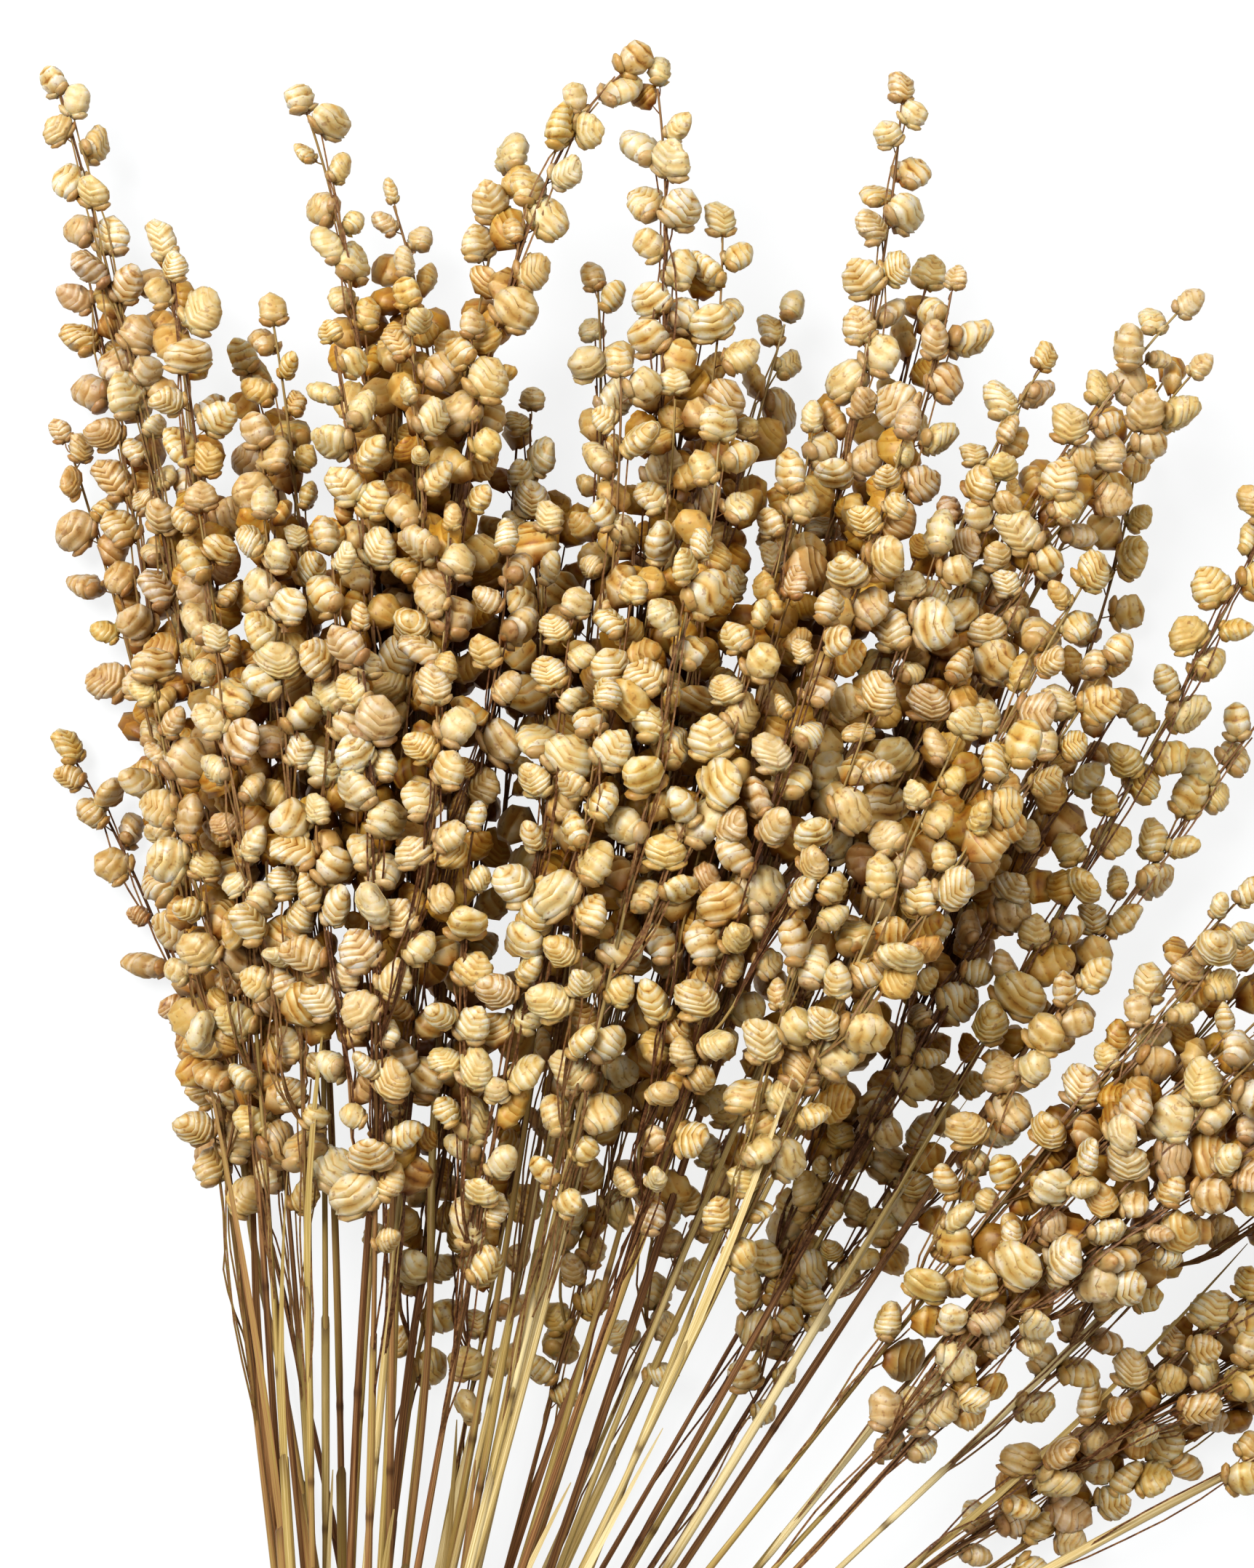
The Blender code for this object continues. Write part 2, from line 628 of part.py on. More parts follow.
def straw(name, colour, roughness):
    """A matt plant material."""
    material = bpy.data.materials.new(name)
    material.use_nodes = True
    shader = material.node_tree.nodes["Principled BSDF"]
    shader.inputs["Base Color"].default_value = (*colour, 1.0)
    shader.inputs["Roughness"].default_value = roughness
    shader.inputs["Metallic"].default_value = 0.0
    return material


def new_collection(name):
    """An empty collection in the scene."""
    made = bpy.data.collections.new(name)
    bpy.context.scene.collection.children.link(made)
    return made


def linked(name, mesh, collection):
    """A new object that shows the mesh in the collection."""
    made = bpy.data.objects.new(name, mesh)
    collection.objects.link(made)
    return made


def fuse(body, pieces, material):
    """One closed body of one material: the body joined to a collection of pieces, which is then removed."""
    join = body.modifiers.new("join", "BOOLEAN")
    join.operation = "UNION"
    join.operand_type = "COLLECTION"
    join.collection = pieces
    join.solver = "EXACT"
    bpy.context.view_layer.update()
    mesh = bpy.data.meshes.new_from_object(body.evaluated_get(bpy.context.evaluated_depsgraph_get()))
    body.modifiers.clear()
    mesh.name = body.name
    mesh.materials.clear()
    mesh.materials.append(material)
    body.data = mesh
    for piece in list(pieces.objects):
        bpy.data.objects.remove(piece)
    bpy.data.collections.remove(pieces)


def strand_tubes(slots, strands):
    """The thinned line and the tube of every strand: the stems with their feet, then the side strands."""
    draw = np.random.RandomState(SEED + 2)
    lines, tubes = [], []
    for k, (stem, line, bare) in enumerate(strands):
        kept = thinned(line)
        s = np.array(kept) * AXIS_STEP
        points = line[kept]
        if k < len(PANICLES):
            radii = np.interp(s, [0.0, bare, s[-1]], [CULM_RADIUS, NECK_RADIUS, TIP_RADIUS])
            foot = foot_points(slots[stem], draw)
            whole = np.concatenate([foot, points])
            radii = np.concatenate([np.full(len(foot), CULM_RADIUS), radii])
            tubes.append(tube(f"strand_{k:03d}", whole, radii, CULM_SIDES))
        else:
            points[0] = nearest_on(lines[stem], points[0])
            radii = np.interp(s, [0.0, s[-1]], [SIDE_RADIUS, TIP_RADIUS])
            tubes.append(tube(f"strand_{k:03d}", points, radii, SIDE_STRAND_SIDES))
        lines.append(points)
    return lines, tubes


def build_stems(collection, material):
    """Every stem with its side strands and spikelets, as one solid each; the stems' slots in the tie."""
    slots, strands = grow_axes()
    grown = settle_spikelets(grow_spikelets(strands), strands)
    lines, tubes = strand_tubes(slots, strands)
    kites = choose_kites(grown, lines, [mesh_tree(mesh) for mesh in tubes])
    for stem in range(len(PANICLES)):
        body = linked(f"stem_{stem + 1:02d}", tubes[stem], collection)
        pieces = new_collection(body.name + ".pieces")
        for k, (owner, _, _) in enumerate(strands):
            if owner == stem and k != stem:
                linked(tubes[k].name, tubes[k], pieces)
        for corners in kites[stem]:
            linked("spikelet", hull_mesh(corners), pieces)
        fuse(body, pieces, material)
    return slots


def main():
    """The bunch in an empty scene."""
    for thing in list(bpy.data.objects):
        bpy.data.objects.remove(thing)
    bunch = new_collection("quaking_grass_bunch")
    slots = build_stems(bunch, straw("straw", (0.62, 0.45, 0.24), 0.55))
    build_tie(slots, bunch, straw("twine", (0.52, 0.40, 0.25), 0.85))


main()
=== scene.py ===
"""Dried quaking grass, a tied bunch lying flat: the looks of its stems, spikelets and twine.

Metres, +Z up, +Y from the tie towards the heads. The first half lays the stems and spikelets out by the
same rules as the solids, so every piece lies where its solid is. The second half gives them their form:
each is a surface over a grid of two parameters, worked out as whole arrays.
"""
import math

import bpy
import numpy as np
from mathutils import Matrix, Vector
from mathutils.kdtree import KDTree


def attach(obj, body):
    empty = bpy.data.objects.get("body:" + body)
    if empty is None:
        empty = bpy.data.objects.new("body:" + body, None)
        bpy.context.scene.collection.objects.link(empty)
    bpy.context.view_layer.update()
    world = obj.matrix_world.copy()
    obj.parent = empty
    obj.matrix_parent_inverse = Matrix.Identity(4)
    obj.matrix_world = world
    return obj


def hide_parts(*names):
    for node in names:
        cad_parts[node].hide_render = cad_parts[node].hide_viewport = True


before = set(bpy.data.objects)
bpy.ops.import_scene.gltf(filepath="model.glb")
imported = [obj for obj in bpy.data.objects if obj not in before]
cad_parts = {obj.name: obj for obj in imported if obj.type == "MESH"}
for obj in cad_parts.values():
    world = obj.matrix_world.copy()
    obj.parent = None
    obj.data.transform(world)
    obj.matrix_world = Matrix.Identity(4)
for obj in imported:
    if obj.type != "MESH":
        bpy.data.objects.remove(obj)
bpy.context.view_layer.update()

MM = 0.001
SEED = 4107
UP = np.array([0.0, 0.0, 1.0])
TINY = 1e-9

# Which side of its head a panicle's side strands grow on
NONE, LEFT, RIGHT, BOTH = (), (-1,), (1,), (-1, 1)

# One row a panicle, read off a plan view of the bunch, in millimetres and degrees:
# tip x, tip y, tip height, lean of the tip from +Y, length of the head, sides with a side strand.
PANICLES = (
    (-55, 328, 14, -17, 120, RIGHT),
    (-51, 297, 8, -12, 100, NONE),
    (-55, 269, 5, -18, 75, NONE),
    (-35, 298, 26, -10, 115, RIGHT),
    (-54, 214, 4, -32, 80, NONE),
    (-41, 225, 14, -14, 90, RIGHT),
    (-29, 255, 34, -10, 110, BOTH),
    (-23, 281, 10, -14, 90, NONE),
    (-18, 288, 20, -10, 100, RIGHT),
    (-12, 323, 22, -20, 105, RIGHT),
    (-17, 253, 46, -8, 110, BOTH),
    (-6, 282, 40, -12, 115, BOTH),
    (-25, 205, 24, -14, 70, BOTH),
    (2, 309, 14, -20, 95, LEFT),
    (6, 289, 34, -4, 115, BOTH),
    (-1, 234, 54, -6, 100, BOTH),
    (13, 251, 46, 2, 110, BOTH),
    (22, 313, 24, 14, 105, LEFT),
    (12, 181, 5, 5, 75, LEFT),
    (41, 328, 32, 58, 75, NONE),
    (23, 268, 12, 4, 115, BOTH),
    (47, 326, 30, -8, 125, RIGHT),
    (33, 237, 52, 6, 110, BOTH),
    (37, 294, 18, -4, 105, LEFT),
    (31, 189, 5, 10, 90, LEFT),
    (41, 277, 38, 0, 120, BOTH),
    (54, 293, 22, 6, 100, RIGHT),
    (53, 246, 56, 10, 110, BOTH),
    (69, 289, 12, 16, 100, LEFT),
    (57, 266, 44, 4, 115, BOTH),
    (51, 191, 8, 14, 92, BOTH),
    (73, 269, 28, 10, 115, BOTH),
    (88, 324, 26, 4, 120, RIGHT),
    (74, 236, 56, 16, 105, BOTH),
    (93, 295, 14, 12, 110, LEFT),
    (87, 266, 46, 16, 115, BOTH),
    (74, 185, 6, 20, 85, BOTH),
    (105, 264, 34, 20, 110, BOTH),
    (133, 288, 34, 44, 100, BOTH),
    (134, 279, 12, 34, 110, LEFT),
    (130, 264, 6, 7, 110, LEFT),
    (117, 243, 40, 30, 100, BOTH),
    (95, 218, 58, 24, 95, BOTH),
    (125, 222, 20, 32, 85, LEFT),
    (104, 165, 5, 33, 78, BOTH),
    (115, 211, 5, 28, 110, LEFT),
    (160, 273, 24, 26, 125, NONE),
    (152, 223, 14, 38, 80, NONE),
    (166, 198, 30, 46, 100, BOTH),
    (142, 184, 38, 44, 92, BOTH),
    (157, 178, 50, 48, 108, BOTH),
    (146, 160, 44, 48, 85, BOTH),
    (192, 180, 24, 52, 112, BOTH),
    (196, 155, 20, 60, 112, RIGHT),
    (180, 129, 8, 62, 95, BOTH),
    (212, 118, 16, 82, 72, LEFT),
    (161, 108, 5, 58, 60, LEFT),
)

# The stems as they pass through the tie
CULM_RADIUS = 0.95 * MM
SLOT_PITCH = 2.45 * MM
BUNDLE_WIDE = 12.0 * MM
BUNDLE_TALL = 6.4 * MM

# The cut ends below the tie: they spread a little
FOOT_LENGTH = 85.0 * MM
FOOT_SCATTER = 8.0 * MM
FOOT_SPREAD = 0.45
FOOT_FALL = 0.3

# The way of a stem from the tie to its tip
FAN_START = 16.0 * MM
BEND_SHARE = 0.32
LEFT_BEND_SHARE = 0.5
LEFTMOST = math.radians(10.0)
MOST_BEND = 0.45
FIRMNESS = 0.85
SOFT_BEND = math.radians(35.0)
CURVE_SAMPLES = 200
AXIS_STEP = 3.0 * MM

# How strands are bent clear of one another: the part near the tie, or near the root, is held
STRAND_GAP = 3.0 * MM
AXIS_FLOOR = 1.6 * MM
LEAST_STEP_UP = 0.3 * MM
SIDEWAYS_SHARE = 0.35
PUSH_STRENGTH = 0.9
SMOOTHINGS = 6
HELD_LENGTH = 40.0 * MM
FREED_WITHIN = 50.0 * MM
SIDE_FREED_WITHIN = 18.0 * MM
STEM_ROUNDS = 25
SIDE_ROUNDS = 20

# A side strand, in shares of the length of its head; the second one starts higher and is shorter
SIDE_START = 0.98
SIDE_START_STEP = 0.26
SIDE_SHARE = 0.62
SIDE_SHARE_STEP = 0.08
SIDE_SCATTER = 0.10
SIDE_SPREAD = 8.0 * MM
SIDE_SPREAD_MORE = 5.0 * MM
SIDE_LIFT = 4.0 * MM
SIDE_BARE = 0.22

# Spikelets: how they stand on a strand, in degrees, and their size
SPIKELET_LENGTH = 6.4 * MM
SPIKELET_SPACING = 4.0 * MM
FEWEST_SPIKELETS = 3
ROOT_SCATTER = 0.3
TURN_SCATTER = 38.0
ROLL_SCATTER = 45.0
LEAN_RANGE = (16.0, 66.0)
TIP_LEAN = 5.0
SIZE_SCATTER = 0.15
SIZE_RANGE = (0.72, 1.30)
TIP_SPIKELETS = 3
TIP_SIZE = 0.86
STALKLET_RANGE = (0.3 * MM, 2.2 * MM)

# How spikelets settle clear of one another
SETTLE_ROUNDS = 24
SPIKELET_FLOOR = 2.3 * MM
SPIKELET_CLEAR = 4.8 * MM
AXIS_CLEAR = 2.6 * MM
SPIKELET_PUSH = 0.4
AXIS_PUSH = 0.5
LONGEST_SHIFT = 3.0 * MM
ROOT_PULL = 0.8

ROOT_DEPTH = 1.5 * MM

# The tie: three turns of twine drawn round the stems, with a small knot on top
TWINE_RADIUS = 1.0 * MM
TWINE_TURNS = 3
TWINE_PITCH = 2.5 * MM
TWINE_SINK = 0.25 * MM
TWINE_GAP = 0.4 * MM
TIE_HALF = 5.5 * MM
TWINE_CORNERS = 10
BUNDLE_FLOOR = 2 * TWINE_RADIUS - TWINE_SINK + TWINE_GAP + CULM_RADIUS

# The knot, in twine radii: its lift over the turns, its ring, and the way that its two ends point
KNOT_LIFT = 1.6
HITCH_RING = 1.9
HITCH_WIDTH = 0.35
HITCH_THICKNESS = 0.9
HITCH_CORNERS = 8
END_THICKNESS = 0.92
END_LENGTH = 13.0 * MM
END_WAY = (0.55, 0.8, 0.12)


def unit(vectors):
    """The same vectors at length one."""
    return vectors / np.maximum(np.linalg.norm(vectors, axis=-1, keepdims=True), TINY)


def round_angles(count):
    """Angles evenly spread round a ring."""
    return np.arange(count) * 2 * math.pi / count


def run_along(line):
    """How far along a line each of its points is."""
    return np.concatenate([[0.0], np.cumsum(np.linalg.norm(np.diff(line, axis=0), axis=1))])


def read_at(places, known, line):
    """The points of a line at other places than the known ones."""
    return np.stack([np.interp(places, known, line[:, k]) for k in range(3)], axis=1)


def even_points(line, step):
    """The same line with its points an even step apart."""
    run = run_along(line)
    return read_at(np.linspace(0.0, run[-1], max(int(round(run[-1] / step)), 2) + 1), run, line)


def point_tree(points):
    """A search tree of points."""
    tree = KDTree(len(points))
    for i, point in enumerate(points):
        tree.insert(point, i)
    tree.balance()
    return tree


def slots_in_the_tie(count):
    """Places of the stems in the tie: hexagonal packing in a flat ellipse, as rows from the lowest up."""
    rise = SLOT_PITCH * math.sqrt(3) / 2
    columns, levels = range(-12, 12), range(-8, 9)
    lattice = [(SLOT_PITCH * (i + 0.5 * (j % 2)), rise * j, j) for j in levels for i in columns]
    lattice.sort(key=lambda p: round((p[0] / BUNDLE_WIDE) ** 2 + (p[1] / BUNDLE_TALL) ** 2, 6))
    chosen = lattice[:count]
    lowest = min(j for _, _, j in chosen)
    rows = {}
    for x, _, j in chosen:
        rows.setdefault(j - lowest, []).append((x, BUNDLE_FLOOR + rise * (j - lowest)))
    return [sorted(rows[j]) for j in sorted(rows)]


def leaving_angle(row):
    """The angle from +Y at which a stem leaves the tie: it bends on its way to the lean of its tip.

    The stems on the left bend most, so they leave almost straight.
    """
    heading = math.atan2(row[0], row[1])
    bend = math.radians(row[3]) - heading
    share = BEND_SHARE + LEFT_BEND_SHARE * max(0.0, min(1.0, -heading / LEFTMOST))
    return heading - share * max(-MOST_BEND, min(MOST_BEND, bend))


def share_the_slots(rows):
    """A slot for each panicle: flatter stems lie in lower rows, and each row fans from left to right."""
    flattest = sorted(range(len(PANICLES)), key=lambda i: PANICLES[i][2] / math.hypot(*PANICLES[i][:2]))
    place = [None] * len(PANICLES)
    for row in rows:
        taken, flattest = flattest[:len(row)], flattest[len(row):]
        taken.sort(key=lambda i: leaving_angle(PANICLES[i]))
        for i, slot in zip(taken, row):
            place[i] = slot
    return place


def stem_axis(row, slot):
    """A cubic from the slot to the tip in plan, that climbs along a quarter of a sine."""
    tip = np.array(row[:3]) * MM
    start = np.array([slot[0], TIE_HALF, slot[1]])
    reach = np.linalg.norm(tip[:2] - start[:2])
    leave, arrive = leaving_angle(row), math.radians(row[3])
    firmness = FIRMNESS / (1.0 + abs(arrive - math.atan2(row[0], row[1])) / SOFT_BEND)
    t = np.linspace(0.0, 1.0, CURVE_SAMPLES)[:, None]
    line = (
        (2 * t**3 - 3 * t**2 + 1) * start
        + (t**3 - 2 * t**2 + t) * reach * np.array([math.sin(leave), math.cos(leave), 0.0])
        + (3 * t**2 - 2 * t**3) * tip
        + (t**3 - t**2) * reach * firmness * np.array([math.sin(arrive), math.cos(arrive), 0.0])
    )
    line[:, 2] = start[2] + (tip[2] - start[2]) * np.sin(0.5 * math.pi * t[:, 0])
    risen = (line[:, 1] - TIE_HALF) ** 2
    fanned = (risen / (risen + FAN_START**2))[:, None]
    line[:, (0, 2)] = start[[0, 2]] + fanned * (line[:, (0, 2)] - start[[0, 2]])
    return even_points(line, AXIS_STEP)


def side_axis(axis, root, side, length, spread, lift):
    """A side strand: it leaves the head's axis at a narrow angle and then runs along beside it."""
    steps = int(length / AXIS_STEP)
    k = np.arange(steps + 1)
    along = axis[np.minimum(root + k, len(axis) - 1)]
    beyond = np.maximum(root + k - (len(axis) - 1), 0)[:, None] * (axis[-1] - axis[-2])
    tangent = unit(np.gradient(axis, axis=0))[np.minimum(root + k, len(axis) - 1)]
    across = unit(np.stack([tangent[:, 1], -tangent[:, 0], np.zeros(len(k))], axis=1))
    away = np.sin(0.5 * math.pi * k / steps)[:, None]
    return along + beyond + away * (side * spread * across + np.array([0.0, 0.0, lift]))


def push_apart(lines, owners, held, gap, rounds):
    """Lines bent clear of one another, more up and down than sideways, till their points keep the gap."""
    sizes = [len(line) for line in lines]
    ends = np.cumsum([0] + sizes)
    points = np.concatenate(lines)
    owner = np.repeat(owners, sizes)
    weight = np.concatenate(held)
    for _ in range(rounds):
        tree = point_tree(points)
        push = np.zeros_like(points)
        for i in np.nonzero(weight > 0.0)[0]:
            for _, j, far in tree.find_range(points[i], gap):
                if owner[j] == owner[i]:
                    continue
                gone = points[i] - points[j]
                if abs(gone[2]) < LEAST_STEP_UP:
                    gone[2] = LEAST_STEP_UP if owner[i] > owner[j] else -LEAST_STEP_UP
                gone[:2] *= SIDEWAYS_SHARE
                push[i] += gone / np.linalg.norm(gone) * (gap - far) * PUSH_STRENGTH
        for a, b in zip(ends[:-1], ends[1:]):
            for _ in range(SMOOTHINGS):
                padded = np.concatenate([push[a:a + 1], push[a:b], push[b - 1:b]])
                push[a:b] = 0.25 * padded[:-2] + 0.5 * padded[1:-1] + 0.25 * padded[2:]
        points = points + push * weight[:, None]
        points[:, 2] = np.maximum(points[:, 2], AXIS_FLOOR)
    return [np.round(points[a:b], 6) for a, b in zip(ends[:-1], ends[1:])]


def grow_axes():
    """The axes of all stems and of their side strands, as (stem, line, length without spikelets)."""
    draw = np.random.RandomState(SEED)
    slots = share_the_slots(slots_in_the_tie(len(PANICLES)))
    mains = [stem_axis(row, slot) for row, slot in zip(PANICLES, slots)]
    freed = [(np.arange(len(line)) * AXIS_STEP - HELD_LENGTH) / FREED_WITHIN for line in mains]
    weights = [np.clip(share, 0.0, 1.0) for share in freed]
    mains = push_apart(mains, range(len(mains)), weights, STRAND_GAP, STEM_ROUNDS)
    strands = []
    for stem, (row, line) in enumerate(zip(PANICLES, mains)):
        strands.append((stem, line, (len(line) - 1) * AXIS_STEP - row[4] * MM))
    weights = [np.zeros(len(line)) for line in mains]
    for stem, row in enumerate(PANICLES):
        head = row[4] * MM
        for k, side in enumerate(row[5]):
            start = SIDE_START - SIDE_START_STEP * k - SIDE_SCATTER * draw.random_sample()
            root = len(mains[stem]) - 1 - int(int(head / AXIS_STEP) * start)
            length = head * (SIDE_SHARE - SIDE_SHARE_STEP * k + SIDE_SCATTER * draw.random_sample())
            spread = SIDE_SPREAD + SIDE_SPREAD_MORE * draw.random_sample()
            lift = SIDE_LIFT * (2.0 * draw.random_sample() - 1.0)
            line = side_axis(mains[stem], root, side, length, spread, lift)
            strands.append((stem, line, SIDE_BARE * length))
            weights.append(np.clip(np.arange(len(line)) * AXIS_STEP / SIDE_FREED_WITHIN, 0.0, 1.0))
    lines = [line for _, line, _ in strands]
    lines = push_apart(lines, range(len(lines)), weights, STRAND_GAP, SIDE_ROUNDS)
    return slots, [(stem, line, bare) for (stem, _, bare), line in zip(strands, lines)]


def grow_spikelets(strands):
    """Spikelets on alternate sides of every strand: the root, long axis, width axis and size of each."""
    draw = np.random.RandomState(SEED + 1)
    found = {name: [] for name in ("root", "along", "wide", "size", "reach", "stem", "strand")}
    for strand, (stem, line, bare) in enumerate(strands):
        length = (len(line) - 1) * AXIS_STEP
        count = max(int((length - bare) / SPIKELET_SPACING), FEWEST_SPIKELETS)
        number = np.arange(count)
        share = (number + ROOT_SCATTER * draw.random_sample(count)) / (count - 1.0 + ROOT_SCATTER)
        s = np.minimum(bare + (length - bare) * share, length - ROOT_DEPTH)
        index = np.minimum((s / AXIS_STEP).astype(int), len(line) - 2)
        part = (s / AXIS_STEP - index)[:, None]
        tangent = unit(line[index + 1] - line[index])
        across = unit(np.stack([tangent[:, 1], -tangent[:, 0], np.zeros(count)], axis=1))
        up = np.cross(across, tangent)
        turn = math.pi * (number % 2) + np.radians(draw.normal(0.0, TURN_SCATTER, count))
        lean = np.radians(draw.uniform(*LEAN_RANGE, count))
        lean[-1] = math.radians(TIP_LEAN)
        out = np.cos(turn)[:, None] * across + np.sin(turn)[:, None] * up
        along = np.cos(lean)[:, None] * tangent + np.sin(lean)[:, None] * out
        roll = np.radians(draw.normal(0.0, ROLL_SCATTER, count))
        size = SPIKELET_LENGTH * np.clip(draw.normal(1.0, SIZE_SCATTER, count), *SIZE_RANGE)
        size *= np.where(number >= count - TIP_SPIKELETS, TIP_SIZE, 1.0)
        level = unit(np.cross(UP, along) + TINY * across)
        wide = np.cos(roll)[:, None] * level + np.sin(roll)[:, None] * np.cross(along, level)
        found["root"].append(line[index] + part * (line[index + 1] - line[index]))
        found["along"].append(along)
        found["wide"].append(wide)
        found["size"].append(size)
        found["reach"].append(draw.uniform(*STALKLET_RANGE, count) + 0.5 * size)
        found["stem"].append(np.full(count, stem))
        found["strand"].append(np.full(count, strand))
    return {name: np.concatenate(rows) for name, rows in found.items()}


def settle_spikelets(grown, strands):
    """Spikelets moved clear of one another, of the strands and of the surface, and turned to suit."""
    start = grown["root"] + grown["reach"][:, None] * grown["along"]
    start[:, 2] = np.maximum(start[:, 2], SPIKELET_FLOOR)
    centre = start.copy()
    axis_tree = point_tree(np.concatenate([line for _, line, _ in strands]))
    for _ in range(SETTLE_ROUNDS):
        tree = point_tree(centre)
        push = np.zeros_like(centre)
        for i, p in enumerate(centre):
            for other, j, far in tree.find_range(p, SPIKELET_CLEAR):
                if j != i:
                    push[i] += SPIKELET_PUSH * (SPIKELET_CLEAR - far) * unit(p - np.array(other))
            near, _, far = axis_tree.find(p)
            if far < AXIS_CLEAR:
                push[i] += AXIS_PUSH * (AXIS_CLEAR - far) * unit(p - np.array(near))
        moved = centre + push - start
        gone = np.maximum(np.linalg.norm(moved, axis=1, keepdims=True), TINY)
        centre = start + moved * np.minimum(1.0, LONGEST_SHIFT / gone)
        centre[:, 2] = np.maximum(centre[:, 2], SPIKELET_FLOOR)
    along = unit(grown["along"] + ROOT_PULL * unit(centre - grown["root"]))
    wide = unit(grown["wide"] - np.sum(grown["wide"] * along, axis=1, keepdims=True) * along)
    grown["centre"] = np.round(centre, 5)
    grown["along"] = np.round(along, 4)
    grown["wide"] = np.round(wide, 4)
    grown["size"] = np.round(grown["size"], 5)
    grown["root"] = np.round(grown["root"], 5)
    return grown


def foot_points(slot, draw):
    """The stem below the tie: it spreads a little and ends in its cut."""
    length = FOOT_LENGTH + FOOT_SCATTER * (2.0 * draw.random_sample() - 1.0)
    middle = BUNDLE_FLOOR + 0.5 * BUNDLE_TALL
    share = np.array([1.0, 0.5, 0.0])
    x = slot[0] * (1.0 + FOOT_SPREAD * share)
    y = -TIE_HALF - (length - TIE_HALF) * share
    z = slot[1] + FOOT_FALL * (slot[1] - middle) * share
    return np.stack([x, y, z], axis=1)


def taut_loop(slots):
    """The way of a taut twine round the stems: a polygon whose sides touch the outermost ones."""
    room = CULM_RADIUS + TWINE_GAP + TWINE_RADIUS
    angles = 0.5 * math.pi + np.arange(TWINE_CORNERS + 1) * 2 * math.pi / TWINE_CORNERS
    facing = np.stack([np.cos(angles), np.sin(angles)], axis=1)
    support = np.array([max(x * fx + z * fz for x, z in slots) for fx, fz in facing]) + room
    here, after = facing[:-1], facing[1:]
    across = here[:, 0] * after[:, 1] - here[:, 1] * after[:, 0]
    x = (support[:-1] * after[:, 1] - support[1:] * here[:, 1]) / across
    z = (support[1:] * here[:, 0] - support[:-1] * after[:, 0]) / across
    return np.stack([x, np.zeros(TWINE_CORNERS), z], axis=1)


def wind(loop):
    """Turns of the loop side by side, as one line that moves along Y by the pitch at each turn."""
    number = np.arange(TWINE_TURNS * len(loop) + 1)
    line = loop[number % len(loop)]
    line[:, 1] = TWINE_PITCH * (number / len(loop) - 0.5 * TWINE_TURNS)
    return line


def knot_lines(winding):
    """The ring that hitches the turns together on top, and the two short ends that come out of it."""
    knot = np.array([winding[0][0], 0.0, winding[0][2] + KNOT_LIFT * TWINE_RADIUS])
    turn = round_angles(HITCH_CORNERS)
    round_it = np.stack([HITCH_WIDTH * np.cos(turn), np.cos(turn), np.sin(turn)], axis=1)
    ring = knot + HITCH_RING * TWINE_RADIUS * round_it
    ends = []
    for start, way in ((winding[0], -1.0), (winding[-1], 1.0)):
        out = unit(np.array(END_WAY) * (way, way, 1.0))
        ends.append(np.array([start, knot, knot + END_LENGTH * out]))
    return ring, ends


# Seeds for the looks
FOOT_SEED = SEED + 2
STALK_SEED = SEED + 5
SPIKELET_SEED = SEED + 7
TIE_SEED = SEED + 9

# How fine each piece is drawn
RING_STEP = 2.6 * MM
CULM_RING = 8
SIDE_RING = 5
STALKLET_RING = 3
STALKLET_STEPS = 4
LONG_STEPS = 9
BLADE_RING = 6
BLADE_STEPS = 14
SHEATH_STEPS = 12
PLY_RING = 7
PLY_STEP = 0.7 * MM

# Radii of the stalks as the eye sees them, how many times their lines are smoothed, and the angle in
# degrees beyond which an edge stays sharp
CULM_LOOK = (0.66 * MM, 1.16 * MM)
NECK_LOOK = 0.42 * MM
TIP_LOOK = 0.20 * MM
SIDE_LOOK = 0.30 * MM
STALKLET_LOOK = 0.14 * MM
LONG_LOOK = 0.19 * MM
STALKLET_TAPER = (1.15, 0.85)
CULM_SMOOTHINGS = 3
SIDE_SMOOTHINGS = 2
STALK_CREASE = 60

# The stout culm that leans furthest to the right: its radius at the tie and at the neck
STOUT_LEAN = 75
STOUT_LOOK = (1.05 * MM, 0.85 * MM)

# Joints of the culms: how far apart they are, in millimetres, how they swell, and the rings that draw them
FIRST_JOINT = 0.35
JOINT_SPACING = (62.0, 105.0)
MOST_JOINTS = 4
JOINT_CLEAR = 12 * MM
JOINT_SWELL = 1.14
JOINT_REACH = 1.0 * MM
JOINT_RINGS = np.array([-2.0, -1.0, -0.4, 0.0, 0.4, 1.0, 2.0]) * MM

# Leaf sheaths that clasp the culms over a joint: how many, how long, how far they stand off, in shares of
# the culm's radius, how they are turned, and their slanting end
SHEATH_SHARE = 0.75
SHEATH_REACH = (26.0 * MM, 60.0 * MM)
SHEATH_CLEAR = 4 * MM
SHEATH_LEAST = 8 * MM
SHEATH_FOOT = 1.02
SHEATH_SWELL = (1.22, 1.55)
SHEATH_FLAT = 0.82
SHEATH_ROLL = (-0.5, 0.5)
SHEATH_PITCH = (-0.2, 0.2)
SHEATH_CUT = (0.0, 6.0)
SHEATH_SLANT = 1.6 * MM
SHEATH_RISE = 0.6
SHEATH_PALER = (-0.1, 0.35)

